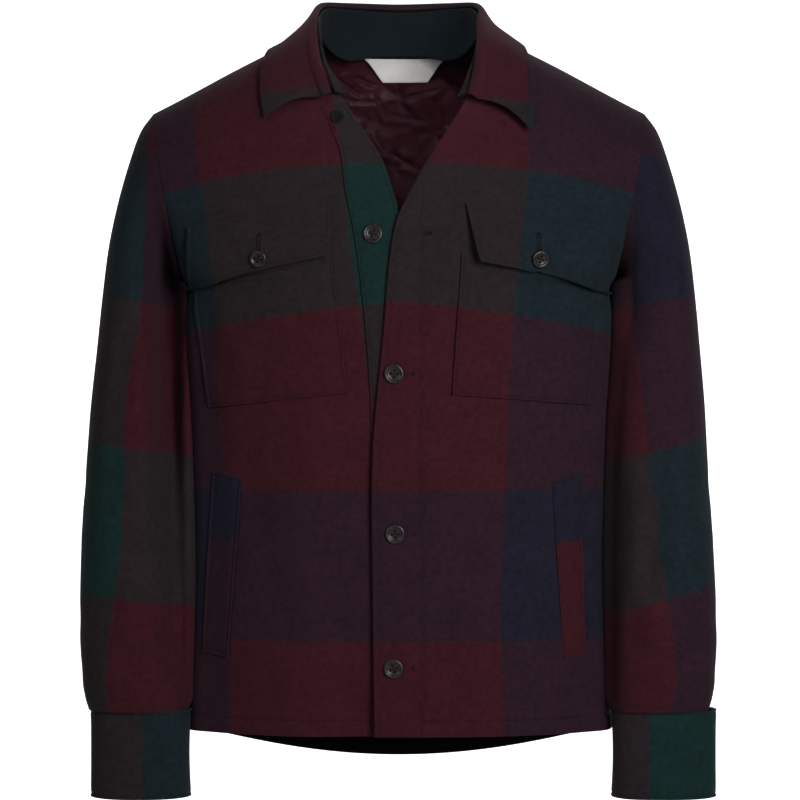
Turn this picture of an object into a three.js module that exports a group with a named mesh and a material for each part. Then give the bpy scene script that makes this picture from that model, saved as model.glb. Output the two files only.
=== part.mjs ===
// A wool check shacket, filled out as if worn, with its cloth as thin walls. Units are millimetres.
// The front faces -Y and the wearer's left is +X. z = 0 is where the shoulder seam meets the neck.
// Paired pieces are worked out on the +X side, and the wearer's right is mirrored at the end.
import * as THREE from "three";

// Cloth walls and the gaps between pieces.
const WALL = 2;
const BAND_WALL = 1.3;
const BAND_TOP = 2;
const LINING_WALL = 1.2;
const POCKET_WALL = 1.5;
const FLAP_WALL = 2;
const CUFF_WALL = 3;
const GAP = 0.4;
const SEAM_HALF = 0.2;

// Main points of the cut.
const ARMPIT = { x: 221, y: 18, z: -264 };
const SHOULDER_TIP = { x: 252, y: 3, z: -88 };
const NECK_POINT = { x: 88, y: 3, z: -3 };
const ARMHOLE_DEPTH = 82;
const BACK_NECK = { y: 78, z: -20, flatness: 9, roundness: 0.85 };
const FRONT_HEM = -719;
const BACK_HEM = -760;
const SIDE_HEM = -722;
const SQUARENESS = 2.3;
const SHOULDER_ROUNDING = 1.45;
const SHOULDER_SOFT = { power: 0.8, by: 0.3 };
const SEAM_SHARE = 0.999;

// Rows and columns of the body panels. Above 1, crowding brings them closer at the armhole.
const ROWS_BELOW = 11;
const ROWS_ABOVE = 10;
const ROW_CROWDING = 1.25;
const FRONT_COLUMNS = 16;
const FRONT_CROWDING = 1.6;
const BACK_COLUMNS = 24;
const BACK_CROWDING = 1.5;
const NECK_COLUMNS = 5;

// How far the under front lies behind the top front, and how wide the step is.
const UNDER_INSET = { depth: 5, full: 32, none: 92, hem: 5, hemFrom: -640, hemOver: 80 };

// The placket bands. The under band narrows towards its end at the neck.
const BAND = { rows: 24, columns: 4, fromEdge: 0.8, leastWidth: 3, aboveHem: 1 };
const TOP_BAND = { seam: 24, end: -160 };
const UNDER_BAND = { width: 48, end: -90, endWidth: 26, narrowFrom: -190, narrowOver: 110 };

// Sections of the body from the hem up to the armpit.
const TORSO = [
  { z: -760, half: 221, front: 103, back: 99 },
  { z: -650, half: 216, front: 104, back: 98 },
  { z: -560, half: 213, front: 106, back: 98 },
  { z: -480, half: 213.5, front: 109, back: 100 },
  { z: -400, half: 216, front: 113, back: 105 },
  { z: -330, half: 219.5, front: 116, back: 112 },
  { z: -264, half: 221, front: 117, back: 117 },
];

// Edge of the top front, from the hem up the placket, along the open neck and round to the shoulder.
const TOP_EDGE = [
  { z: -719, x: -25 }, { z: -581, x: -27 }, { z: -433, x: -27 }, { z: -383, x: -23 },
  { z: -314, x: -16 }, { z: -241, x: -10 }, { z: -204, x: -3 }, { z: -190, x: 3 },
  { z: -162, x: 18 }, { z: -134, x: 34.7 }, { z: -108, x: 51.6 }, { z: -84, x: 66 },
  { z: -60, x: 76 }, { z: -36, x: 83 }, { z: -14, x: 87 }, { z: -3, x: 88 },
];

// Edge of the under front, seen as on the +X side.
const UNDER_EDGE = [
  { z: -719, x: -22 }, { z: -383, x: -20 }, { z: -300, x: -14 }, { z: -240, x: -7 },
  { z: -192, x: 1 }, { z: -165, x: 9 }, { z: -141, x: 18 }, { z: -105, x: 41 },
  { z: -76, x: 60 }, { z: -56, x: 76 }, { z: -36, x: 83 }, { z: -14, x: 87 }, { z: -3, x: 88 },
];

// Soft folds of the body: where each is, how it leans, how long and wide it is, how far it stands out.
const FRONT_FOLDS = [
  { x: 178, z: -300, lean: 0.35, length: 70, width: 16, rise: 2.5 },
  { x: 150, z: -455, lean: -0.12, length: 110, width: 20, rise: -3 },
  { x: 95, z: -560, lean: 0.08, length: 150, width: 26, rise: 2.5 },
  { x: 60, z: -640, lean: 0.05, length: 90, width: 16, rise: -2.5 },
  { x: 175, z: -170, lean: 0.6, length: 60, width: 14, rise: 2 },
];
const BACK_FOLDS = [
  { x: 120, z: -330, lean: 0.3, length: 110, width: 24, rise: 3 },
  { x: 60, z: -560, lean: 0.1, length: 150, width: 28, rise: -3.5 },
  { x: 140, z: -600, lean: -0.05, length: 120, width: 24, rise: 3 },
];

// How fast the body's folds die out towards the side and the shoulder.
const FOLD_FADE = { side: 4, shoulder: 2 };

// Sleeve sections from the armhole down: the outer and inner points of each ring and its half depth.
const SLEEVE = [
  { outX: 252, outZ: -88, outY: 3, inX: 221, inZ: -264, inY: 18, depth: 82 },
  { outX: 266, outZ: -108, outY: 3, inX: 223, inZ: -271, inY: 18, depth: 82 },
  { outX: 278, outZ: -142, outY: 3, inX: 224.5, inZ: -278, inY: 17, depth: 81 },
  { outX: 289, outZ: -182, outY: 2, inX: 225, inZ: -288, inY: 15, depth: 79 },
  { outX: 298, outZ: -226, outY: 0, inX: 225, inZ: -302, inY: 11, depth: 77 },
  { outX: 304, outZ: -276, outY: -3, inX: 224, inZ: -320, inY: 6, depth: 75 },
  { outX: 309, outZ: -330, outY: -7, inX: 222.5, inZ: -346, inY: 0, depth: 72 },
  { outX: 314, outZ: -386, outY: -12, inX: 219.5, inZ: -390, inY: -8, depth: 69 },
  { outX: 317, outZ: -440, outY: -18, inX: 217, inZ: -440, inY: -16, depth: 67 },
  { outX: 320.5, outZ: -500, outY: -24, inX: 216, inZ: -500, inY: -24, depth: 65 },
  { outX: 323, outZ: -560, outY: -29, inX: 216, inZ: -560, inY: -29, depth: 62 },
  { outX: 324, outZ: -620, outY: -33, inX: 217, inZ: -620, inY: -33, depth: 58 },
  { outX: 321, outZ: -664, outY: -36, inX: 217, inZ: -664, inY: -36, depth: 52 },
  { outX: 317, outZ: -696, outY: -38, inX: 214.5, inZ: -696, inY: -38, depth: 45 },
];
const SLEEVE_OUT_SHIFT = { left: -2, right: 2, z: -480, over: 130 };
const SLEEVE_SQUARENESS = 2.15;
const SLEEVE_SQUARED = { from: -90, over: 100 };
const SLEEVE_RINGS = 17;
const SLEEVE_AROUND = 24;
const CUFF = { top: -696, bottom: -785, depth: 40, y: -38, rings: 3, waist: 0.02 };
// The sleeve lies along the body's side: how clear of it, and between which heights and depths.
const HUG = {
  clear: 2.4, from: -268, fromOver: 30, to: -700, toOver: 60,
  front: -26, back: 30, fade: 26, inward: 1.6,
};
const CUFF_SIDES = {
  left: { middle: 269, half: 53.3 },
  right: { middle: 262.3, half: 51 },
};

// Puckers round the sleeve: height, angle from the outside towards the front, reach and depth.
const SLEEVE_FOLDS = [
  { z: -300, turn: 150, length: 26, spread: 36, rise: -6 },
  { z: -345, turn: 128, length: 18, spread: 30, rise: 4 },
  { z: -455, turn: 70, length: 14, spread: 46, rise: -4 },
  { z: -482, turn: 96, length: 13, spread: 40, rise: 3.5 },
  { z: -540, turn: 118, length: 15, spread: 42, rise: -4.5 },
  { z: -592, turn: 60, length: 14, spread: 44, rise: -3 },
  { z: -640, turn: 105, length: 13, spread: 46, rise: -4 },
  { z: -668, turn: 40, length: 12, spread: 40, rise: 3 },
];

// A pucker's slant round the sleeve, the rings over which it fades, and where it fades at the body.
const PUCKER = { slant: 0.25, topRings: 3, bottomRings: 2, insideX: 218, insideOver: 30 };

// Patches on the fronts, by their corners in x and z: inner top, outer top, outer bottom, inner bottom.
const PATCHES = {
  pocket_left: [[62, -238], [201, -262], [190, -388], [52, -378]],
  pocket_right: [[66, -246], [204, -268], [190, -391], [51, -376]],
  flap_left: [[66, -188], [207, -211], [208, -265], [78, -246]],
  flap_right: [[67, -185], [212, -209], [209, -266], [68, -240]],
  welt_left: [[153, -465], [182, -457], [186, -638], [165, -645]],
  welt_right: [[157, -462], [187, -455], [195, -639], [171, -643]],
};

// Lifts of the layers on a front, from its cloth outwards, and how a flap stands off below its seam.
const POCKET_LIFT = 1.1;
const FLAP_LIFT = POCKET_LIFT + POCKET_WALL + GAP;
const FLAP_SEAM = { lift: 0.8, share: 0.25 };
const FLAP_FLARE = { left: 7, right: 3.5, power: 1.5 };
const FLAP_HELD = { at: 0.5, width: 0.2, share: 0.7 };
const FLAP_CORNER_LIFT = { left: 6, right: 1, power: 3 };
const FLAP_BUTTON_LIFT = { left: 2, right: 0.9, alongFlap: 0.5, upFlap: 0.25 };

// Buttons: outer diameter, thickness, and where each sits.
const FRONT_BUTTON = { size: 20, thick: 3, hole: 1.4, spread: 2.3 };
const FLAP_BUTTON = { size: 17.5, thick: 2.8, hole: 1.3, spread: 2.1 };
const STAND_BUTTON = { size: 14, thick: 2.4, hole: 1.1, spread: 1.8 };
const FRONT_BUTTONS = [
  { side: "right", x: 26, z: -218 },
  { side: "left", x: -5, z: -357 },
  { side: "left", x: -4, z: -516 },
  { side: "left", x: -5.5, z: -650 },
];
const FLAP_BUTTONS = { left: { x: 138, z: -242 }, right: { x: 138, z: -242 } };
const STAND_BUTTON_AT = { x: 62, z: -101 };
const BUTTON_SIDES = { rim: 20, hole: 6 };

// Collar stations from a front end to the middle of the back. fold is the top of the roll.
// leafX and leafZ are the leaf's edge over the front, shoulder or back. lift is its height there.
const COLLAR = {
  left: [
    { fold: [70, -107, -78], leafX: 131, leafZ: -118, facing: -1, lift: 11, neckZ: -84 },
    { fold: [74, -96, -62], leafX: 134, leafZ: -90, facing: -1, lift: 7, neckZ: -70 },
    { fold: [77, -78, -40], leafX: 134, leafZ: -62, facing: -1, lift: 5, neckZ: -50 },
    { fold: [79, -52, -16], leafX: 131, leafZ: -42, facing: -1, lift: 4.5, neckZ: -28 },
    { fold: [80, -20, 8], leafX: 126, leafZ: -20, facing: -1, lift: 4.5, neckZ: -10 },
  ],
  right: [
    { fold: [71, -105, -77], leafX: 134, leafZ: -103, facing: -1, lift: 5, neckZ: -80 },
    { fold: [76, -95, -62], leafX: 138, leafZ: -82, facing: -1, lift: 5, neckZ: -68 },
    { fold: [81, -78, -40], leafX: 139, leafZ: -60, facing: -1, lift: 4.5, neckZ: -50 },
    { fold: [84, -52, -16], leafX: 137, leafZ: -42, facing: -1, lift: 4.5, neckZ: -28 },
    { fold: [84, -20, 8], leafX: 132, leafZ: -20, facing: -1, lift: 4.5, neckZ: -10 },
  ],
  back: [
    { fold: [83, 12, 22], leafX: 124, leafZ: -36, facing: 1, lift: 4.5, neckX: 87 },
    { fold: [81, 27, 28], leafX: 113, leafZ: -37, facing: 1, lift: 4.5, neckX: 81 },
    { fold: [76, 40, 32], leafX: 98, leafZ: -38, facing: 1, lift: 4.5, neckX: 72 },
    { fold: [44, 64, 34], leafX: 52, leafZ: -38, facing: 1, lift: 4.5, neckX: 40 },
    { fold: [0, 71, 33], leafX: 0, leafZ: -38, facing: 1, lift: 4.5, neckX: 0 },
  ],
};
const NECK_CLEAR = 0.7;
const NECK_IN = 2.8;
const NECK_MIDDLE_Y = -20;
const COLLAR_ROLL = 5.5;
const STAND_BOW = 0.6;
const STAND_BELOW_ROLL = 2.3;
const STAND_WALL = 2.4;
const LEAF_WALL = 2.2;
const LEAF_CLEAR = 4;
const LEAF_ROLL = { turn: 0.75, open: 0.15, rows: 3 };
const LEAF_FALL = { rows: 5, bow: 3, bowOut: 0.4, bowUp: 0.3 };
const LEAF_END_RISE = { height: 7, from: 0.9, over: 0.1, forward: 0.2 };
const STAND_ROWS = 3;
const COLLAR_SECTIONS = 34;

// Lining cells and the label on it.
const LINING = { cell: 46, puff: 2.5, short: 0.15 };
const LABEL = {
  top: -21, bottom: -46, clear: 1.5, topClear: 7, topRise: 7.5, wall: 0.8, rows: 3, columns: 8,
  topFrom: -45, topTo: 57, bottomFrom: -18, bottomTo: 32,
};

const WINE = { color: 0x371a1f, roughness: 0.95 };
const CHARCOAL = { color: 0x221f21, roughness: 0.95 };
const GREEN = { color: 0x182b2a, roughness: 0.95 };
const NAVY = { color: 0x1d1c26, roughness: 0.95 };
const SATIN = { color: 0x32141c, roughness: 0.4 };
const LABEL_WHITE = { color: 0xc4c2bf, roughness: 0.8 };
const BUTTON_BROWN = { color: 0x3b2d2c, roughness: 0.35 };

const clamp = (value, low, high) => Math.min(high, Math.max(low, value));
const lerp = (a, b, t) => a + (b - a) * t;
const smooth = (t) => clamp(t, 0, 1) ** 2 * (3 - 2 * clamp(t, 0, 1));
const bell = (t) => Math.exp(-t * t);
const steps = (count) => Array.from({ length: count + 1 }, (_, i) => i / count);

// Reads a column of a table smoothly at a place between its rows.
function along(rows, key, column, at) {
  const last = rows.length - 1;
  let i = 0;
  while (i < last - 1 && at > rows[i + 1][key]) {
    i += 1;
  }
  const [a, b] = [rows[i], rows[i + 1]];
  const slope = (p, q) => (q[column] - p[column]) / (q[key] - p[key]);
  const span = b[key] - a[key];
  const t = clamp((at - a[key]) / span, 0, 1);
  const middle = slope(a, b);
  const before = i > 0 ? (slope(rows[i - 1], a) + middle) / 2 : middle;
  const after = i < last - 1 ? (slope(b, rows[i + 2]) + middle) / 2 : middle;
  const rest = 1 - t;
  return (1 + 2 * t) * rest * rest * a[column] + t * rest * rest * span * before
    + t * t * (3 - 2 * t) * b[column] - t * t * rest * span * after;
}

// How far up, and how far in towards the shoulder line, a row has gone on its way round the shoulder.
const climb = (w) => (1 - (1 - w) ** SHOULDER_ROUNDING) ** (1 / SHOULDER_ROUNDING);
const turnIn = (w) => 1 - (1 - w ** SHOULDER_ROUNDING) ** (1 / SHOULDER_ROUNDING);

// The shoulder seam's height at x, carried on to the neck and, behind, along the back neckline.
function ridgeHeight(x, facing) {
  const t = (Math.abs(x) - NECK_POINT.x) / (SHOULDER_TIP.x - NECK_POINT.x);
  if (t < 0 && facing > 0) {
    return lerp(BACK_NECK.z, NECK_POINT.z, (Math.abs(x) / NECK_POINT.x) ** BACK_NECK.flatness);
  }
  return lerp(NECK_POINT.z, SHOULDER_TIP.z, t);
}

// How far behind the shoulder line the back neckline is at x.
function neckDepth(x) {
  const t = Math.min(1, Math.abs(x) / NECK_POINT.x);
  return (BACK_NECK.y - NECK_POINT.y) * (1 - t * t) ** BACK_NECK.roundness;
}

// Adds up the folds near a point.
function foldRise(folds, x, z) {
  return folds.reduce((sum, fold) => {
    const up = (z - fold.z) / fold.length;
    const across = (Math.abs(x) - fold.x - fold.lean * (z - fold.z)) / fold.width;
    return sum + fold.rise * bell(up) * bell(across);
  }, 0);
}

// A point of the body. s runs from the middle to the side seam or armhole. level below 0 is a height
// under the armpit, and level from 0 to 1 goes from the armpit row over to the shoulder seam.
function bodyPoint(s, level, facing) {
  const share = Math.abs(s);
  const above = Math.max(0, level);
  const z0 = ARMPIT.z + Math.min(0, level);
  const rise = climb(above);
  const width = level < 0 ? along(TORSO, "z", "half", z0) : lerp(ARMPIT.x, SHOULDER_TIP.x, rise);
  const depth = along(TORSO, "z", facing < 0 ? "front" : "back", z0);
  const sideY = lerp(ARMPIT.y, SHOULDER_TIP.y, rise);
  const endY = sideY + facing * ARMHOLE_DEPTH * Math.sin(Math.acos(1 - 2 * rise));
  const middleY = lerp(facing * depth, SHOULDER_TIP.y, turnIn(above));
  const soften = lerp(1 / SQUARENESS, SHOULDER_SOFT.power, smooth(above / SHOULDER_SOFT.by));
  const x = s * width;
  const round = Math.max(0, 1 - share ** SQUARENESS) ** soften;
  const neck = facing > 0 ? turnIn(above) * neckDepth(s * SHOULDER_TIP.x) : 0;
  const z = lerp(z0, ridgeHeight(share * SHOULDER_TIP.x, facing), rise);
  const folds = facing < 0 ? FRONT_FOLDS : BACK_FOLDS;
  const fade = (1 - share ** FOLD_FADE.side) * (1 - above ** FOLD_FADE.shoulder);
  const drape = foldRise(folds, x, z) * fade;
  const y = endY + (middleY - endY) * round + neck + facing * (drape + SEAM_HALF);
  return new THREE.Vector3(x, y, z);
}

// Half the body's width at a level.
function halfWidth(level) {
  return level < 0 ? along(TORSO, "z", "half", ARMPIT.z + level)
    : lerp(ARMPIT.x, SHOULDER_TIP.x, climb(level));
}

// The body's point at x on a level's row.
function bodyOnRow(x, level, facing) {
  return bodyPoint(clamp(x / halfWidth(level), -1, 1), level, facing);
}

// The level whose row passes through height z at x.
function levelAt(x, z, facing) {
  if (z <= ARMPIT.z) {
    return z - ARMPIT.z;
  }
  let low = 0;
  let high = 1;
  for (let i = 0; i < 24; i += 1) {
    const level = (low + high) / 2;
    [low, high] = bodyOnRow(x, level, facing).z < z ? [level, high] : [low, level];
  }
  return (low + high) / 2;
}

// The body's point at x and z.
const bodyAt = (x, z, facing) => bodyOnRow(x, levelAt(x, z, facing), facing);

// Moves a point out of the body, at its own x, until it stands clear of the cloth below it.
function keptClear(point, clearance) {
  const x = Math.abs(point.x);
  const tried = 40;
  const nearby = 0.02;
  const rows = [-1, 1].flatMap((facing) => steps(tried).map((level) => ({ level, facing })));
  const onRow = ({ level, facing }) => bodyOnRow(x, level, facing).setX(point.x);
  const apart = rows.map((row) => onRow(row).distanceTo(point));
  const { level, facing } = rows[apart.indexOf(Math.min(...apart))];
  const near = bodyOnRow(x, level, facing);
  const below = bodyOnRow(x, Math.max(0, level - nearby), facing);
  const up = bodyOnRow(x, Math.min(1, level + nearby), facing).sub(below);
  const out = new THREE.Vector3(0, facing * up.z, -facing * up.y).normalize();
  const height = (point.y - near.y) * out.y + (point.z - near.z) * out.z;
  return point.addScaledVector(out, Math.max(0, clearance - height));
}

// How far the under front lies behind the body's surface.
function underInset(x, z) {
  const step = 1 - smooth((x - UNDER_INSET.full) / (UNDER_INSET.none - UNDER_INSET.full));
  const atHem = UNDER_INSET.hem * smooth((UNDER_INSET.hemFrom - z) / UNDER_INSET.hemOver);
  return step * (UNDER_INSET.depth + atHem);
}

// A point on one front, moved out from its cloth by lift, and the outward direction there.
function onFront(x, z, side, lift) {
  const reach = 1.5;
  const at = bodyAt(x, z, -1);
  const across = bodyAt(x + reach, z, -1).sub(bodyAt(x - reach, z, -1));
  const up = bodyAt(x, z + reach, -1).sub(bodyAt(x, z - reach, -1));
  const out = across.cross(up).normalize();
  const inset = side === "right" ? underInset(x, z) : 0;
  return { point: at.addScaledVector(out, lift - inset), out };
}

// The outward directions of a grid of points, row by row.
function gridNormals(grid) {
  return grid.map((row, i) => row.map((_, j) => {
    const up = grid[Math.min(i + 1, grid.length - 1)][j].clone().sub(grid[Math.max(i - 1, 0)][j]);
    const across = row[Math.min(j + 1, row.length - 1)].clone().sub(row[Math.max(j - 1, 0)]);
    return across.cross(up).normalize();
  }));
}

// Moves every point of a grid along its own direction.
function moved(grid, normals, distance) {
  return grid.map((row, i) => row.map((point, j) => point.clone().addScaledVector(normals[i][j], distance)));
}

// Joins an outer and an inner grid into one closed wall. A closed grid is a tube.
function wallGeometry(outer, inner, closed) {
  const rows = outer.length;
  const columns = outer[0].length;
  const position = [...outer.flat(), ...inner.flat()].flatMap((point) => point.toArray());
  const index = [];
  const at = (layer, i, j) => layer * rows * columns + i * columns + (j % columns);
  const quad = (a, b, c, d) => index.push(a, b, c, a, c, d);
  const spans = closed ? columns : columns - 1;
  for (let i = 0; i < rows - 1; i += 1) {
    for (let j = 0; j < spans; j += 1) {
      quad(at(0, i, j), at(0, i, j + 1), at(0, i + 1, j + 1), at(0, i + 1, j));
      quad(at(1, i, j), at(1, i + 1, j), at(1, i + 1, j + 1), at(1, i, j + 1));
    }
  }
  for (let j = 0; j < spans; j += 1) {
    quad(at(0, 0, j + 1), at(0, 0, j), at(1, 0, j), at(1, 0, j + 1));
    quad(at(0, rows - 1, j), at(0, rows - 1, j + 1), at(1, rows - 1, j + 1), at(1, rows - 1, j));
  }
  for (let i = 0; i < rows - 1 && !closed; i += 1) {
    quad(at(0, i, 0), at(0, i + 1, 0), at(1, i + 1, 0), at(1, i, 0));
    quad(at(0, i + 1, spans), at(0, i, spans), at(1, i, spans), at(1, i + 1, spans));
  }
  const geometry = new THREE.BufferGeometry();
  geometry.setAttribute("position", new THREE.Float32BufferAttribute(position, 3));
  geometry.setIndex(index);
  return geometry;
}

// Mirrors a geometry to the wearer's right, keeping its faces outward.
function mirrored(geometry) {
  geometry.scale(-1, 1, 1);
  const index = geometry.getIndex().array;
  for (let i = 0; i < index.length; i += 3) {
    [index[i], index[i + 1]] = [index[i + 1], index[i]];
  }
  return geometry;
}

// Makes a named mesh with its own finish.
function piece(name, geometry, finish) {
  geometry.computeVertexNormals();
  const material = new THREE.MeshStandardMaterial({ metalness: 0, side: THREE.FrontSide, ...finish });
  material.name = name;
  const mesh = new THREE.Mesh(geometry, material);
  mesh.name = name;
  return mesh;
}

// Puts a piece worked out on the +X side where its side is.
const placed = (geometry, side) => (side === "right" ? mirrored(geometry) : geometry);

// The direction across the armhole's plane, away from the body.
const ARMHOLE_OUT = new THREE.Vector3(ARMPIT.z - SHOULDER_TIP.z, 0, SHOULDER_TIP.x - ARMPIT.x)
  .normalize().negate();

// Keeps a wall's edge flat in the plane whose direction is given.
function flattenTo(normal, plane) {
  return normal.addScaledVector(plane, -normal.dot(plane)).normalize();
}

// Wall directions of a body panel, kept in the seam planes at the shoulder, side and armhole.
function panelNormals(grid, levels, ends) {
  const normals = gridNormals(grid);
  const alongY = new THREE.Vector3(0, 1, 0);
  normals.forEach((row, i) => ends.forEach((j) => {
    const across = ARMHOLE_OUT.clone();
    across.x *= Math.sign(grid[i][j].x);
    if (levels[i] <= 0) {
      flattenTo(row[j], alongY);
    }
    if (levels[i] >= 0) {
      flattenTo(row[j], across);
    }
  }));
  normals[normals.length - 1].forEach((normal, j) => {
    if (Math.abs(grid[grid.length - 1][j].x) >= NECK_POINT.x - 1) {
      flattenTo(normal, alongY);
    }
  });
  return normals;
}

// Rows of the body panels, from the hem to the shoulder seam.
function panelLevels(hem) {
  const below = steps(ROWS_BELOW).map((t) => lerp(hem - ARMPIT.z, 0, t));
  const above = steps(ROWS_ABOVE).slice(1).map((t) => t ** ROW_CROWDING);
  return [...below, ...above];
}

// One front panel, cut to its own edge.
function frontPanel(side) {
  const edge = side === "left" ? TOP_EDGE : UNDER_EDGE;
  const levels = panelLevels(FRONT_HEM);
  const outer = levels.map((level) => {
    const half = halfWidth(level);
    let x = NECK_POINT.x * Math.max(0, level);
    const rounds = 12;
    for (let i = 0; i < rounds; i += 1) {
      x = along(edge, "z", "x", bodyPoint(x / half, level, -1).z);
    }
    return steps(FRONT_COLUMNS).map((t) => {
      const s = lerp(x / half, 1, 1 - (1 - t) ** FRONT_CROWDING);
      const point = bodyPoint(s, level, -1);
      point.x -= s > SEAM_SHARE && level >= 0 ? SEAM_HALF : 0;
      return point;
    });
  });
  const normals = panelNormals(outer, levels, [FRONT_COLUMNS]);
  if (side === "right") {
    outer.forEach((row, i) => row.forEach((point, j) => {
      point.addScaledVector(normals[i][j], -underInset(point.x, point.z));
    }));
  }
  return placed(wallGeometry(outer, moved(outer, normals, -WALL), false), side);
}

// The place of a back column from side to side, with one column on each neck point.
function backColumn(even) {
  const neck = NECK_POINT.x / SHOULDER_TIP.x;
  const t = Math.abs(even) * BACK_COLUMNS / 2;
  const beyond = Math.max(0, t - NECK_COLUMNS) / (BACK_COLUMNS / 2 - NECK_COLUMNS);
  const outer = lerp(neck, 1, 1 - (1 - beyond) ** BACK_CROWDING);
  const s = t < NECK_COLUMNS ? neck * t / NECK_COLUMNS : outer;
  return Math.sign(even) * s;
}

// Points of the back panel, which is one piece from side to side.
function backGrid() {
  const levels = panelLevels(SIDE_HEM);
  const grid = levels.map((level, i) => steps(BACK_COLUMNS).map((t) => {
    const s = backColumn(1 - t * 2);
    const drop = (BACK_HEM - SIDE_HEM) * (1 - s * s) * Math.max(0, 1 - i / ROWS_BELOW);
    const point = bodyPoint(s, level + drop, 1);
    point.x -= Math.abs(s) > SEAM_SHARE && level >= 0 ? Math.sign(s) * SEAM_HALF : 0;
    return point;
  }));
  return { grid, normals: panelNormals(grid, levels, [0, BACK_COLUMNS]) };
}

// The back panel, with its wall on the inside.
function backPanel() {
  const { grid, normals } = backGrid();
  return wallGeometry(grid, moved(grid, normals, -WALL), false);
}

// A band along a front's edge.
function placket(side) {
  const top = side === "left" ? TOP_BAND.end : UNDER_BAND.end;
  const edge = side === "left" ? TOP_EDGE : UNDER_EDGE;
  const lifts = [BAND_TOP, BAND_TOP - BAND_WALL];
  const [outer, inner] = lifts.map((lift) => steps(BAND.rows).map((t) => {
    const z = lerp(FRONT_HEM + BAND.aboveHem, top, t);
    const from = along(edge, "z", "x", z) + BAND.fromEdge;
    const narrowed = smooth((z - UNDER_BAND.narrowFrom) / UNDER_BAND.narrowOver);
    const width = lerp(UNDER_BAND.width, UNDER_BAND.endWidth, narrowed);
    const seam = side === "left" ? TOP_BAND.seam : from + width;
    const to = Math.max(from + BAND.leastWidth, seam);
    return steps(BAND.columns).map((u) => onFront(lerp(from, to, u), z, side, lift).point);
  }));
  return placed(wallGeometry(outer, inner, false), side);
}

// A patch between four corners, with a lift that may change over it.
function patch(name, side, base, wall, extra, shape = [8, 8]) {
  const [innerTop, outerTop, outerBottom, innerBottom] = PATCHES[`${name}_${side}`];
  const [rows, columns] = shape;
  const [outer, inner] = [base + wall, base].map((lift) => steps(rows).map((v) => steps(columns).map((u) => {
    const x = lerp(lerp(innerBottom[0], outerBottom[0], u), lerp(innerTop[0], outerTop[0], u), v);
    const z = lerp(lerp(innerBottom[1], outerBottom[1], u), lerp(innerTop[1], outerTop[1], u), v);
    return onFront(x, z, side, lift + extra(u, v)).point;
  })));
  return placed(wallGeometry(outer, inner, false), side);
}

// A flap is sewn down at its top, stands off more at its lower edge, and most at its inner corner.
function flapLift(side, u, v) {
  const seat = (FLAP_LIFT - FLAP_SEAM.lift) * smooth((v - FLAP_SEAM.share) / (1 - FLAP_SEAM.share));
  const held = 1 - FLAP_HELD.share * bell((u - FLAP_HELD.at) / FLAP_HELD.width);
  const flare = FLAP_FLARE[side] * (1 - v) ** FLAP_FLARE.power * held;
  return flare - seat + FLAP_CORNER_LIFT[side] * (1 - u) ** FLAP_CORNER_LIFT.power * (1 - v);
}

// One ring of a sleeve, from its outer point round by the front.
function sleeveRing(row, sideShift, count) {
  const shift = sideShift * bell((row.outZ - SLEEVE_OUT_SHIFT.z) / SLEEVE_OUT_SHIFT.over);
  const outer = new THREE.Vector3(row.outX + shift, row.outY, row.outZ);
  const inner = new THREE.Vector3(row.inX, row.inY, row.inZ);
  const middle = outer.clone().lerp(inner, 0.5);
  const out = outer.sub(inner).multiplyScalar(0.5);
  return Array.from({ length: count }, (_, j) => {
    const angle = j / count * 2 * Math.PI;
    const squared = smooth((SLEEVE_SQUARED.from - row.outZ) / SLEEVE_SQUARED.over);
    const power = lerp(1, 2 / SLEEVE_SQUARENESS, squared);
    const c = Math.sign(Math.cos(angle)) * Math.abs(Math.cos(angle)) ** power;
    const s = Math.sign(Math.sin(angle)) * Math.abs(Math.sin(angle)) ** power;
    const point = middle.clone().addScaledVector(out, c);
    point.y -= row.depth * s;
    return besideBody(point, c);
  });
}

// Lays the inner side of a sleeve along the side of the body, just clear of it.
function besideBody(point, turn) {
  const z = Math.min(point.z, ARMPIT.z);
  const half = along(TORSO, "z", "half", z);
  const depth = along(TORSO, "z", point.y < ARMPIT.y ? "front" : "back", z);
  const reach = Math.abs(point.y - ARMPIT.y) / (depth + Math.sign(ARMPIT.y - point.y) * ARMPIT.y);
  const side = half * Math.max(0, 1 - reach ** SQUARENESS) ** (1 / SQUARENESS) + HUG.clear;
  const low = smooth((HUG.from - point.z) / HUG.fromOver) * smooth((point.z - HUG.to) / HUG.toOver);
  const near = smooth((point.y - HUG.front) / HUG.fade + 1) * smooth((HUG.back - point.y) / HUG.fade + 1);
  point.x = lerp(point.x, side, low * near * smooth(-turn * HUG.inward));
  return point;
}

// Pushes a sleeve's points in or out at its puckers.
function pucker(grid) {
  const around = grid[0].length;
  return grid.map((row, i) => row.map((point, j) => {
    const middle = row.reduce((sum, p) => sum.add(p), new THREE.Vector3()).divideScalar(around);
    const turn = j / around * 360;
    const keepEnds = smooth(i / PUCKER.topRings) * smooth((grid.length - 1 - i) / PUCKER.bottomRings);
    const rise = SLEEVE_FOLDS.reduce((sum, fold) => {
      const apart = (turn - fold.turn + 540) % 360 - 180;
      const slant = fold.z + apart * PUCKER.slant;
      return sum + fold.rise * bell((point.z - slant) / fold.length) * bell(apart / fold.spread);
    }, 0);
    const inside = clamp((point.x - PUCKER.insideX) / PUCKER.insideOver, 0, 1);
    return point.clone().addScaledVector(point.clone().sub(middle).normalize(), rise * keepEnds * inside);
  }));
}

// Rings between the rows of the sleeve's table.
function sleeveGrid(side, count, around) {
  const keyed = SLEEVE.map((row, at) => ({ at, ...row }));
  const columns = ["outX", "outZ", "outY", "inX", "inZ", "inY", "depth"];
  return steps(count).map((t) => {
    const at = t * (SLEEVE.length - 1);
    const row = Object.fromEntries(columns.map((column) => [column, along(keyed, "at", column, at)]));
    return sleeveRing(row, SLEEVE_OUT_SHIFT[side], around);
  });
}

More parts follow.
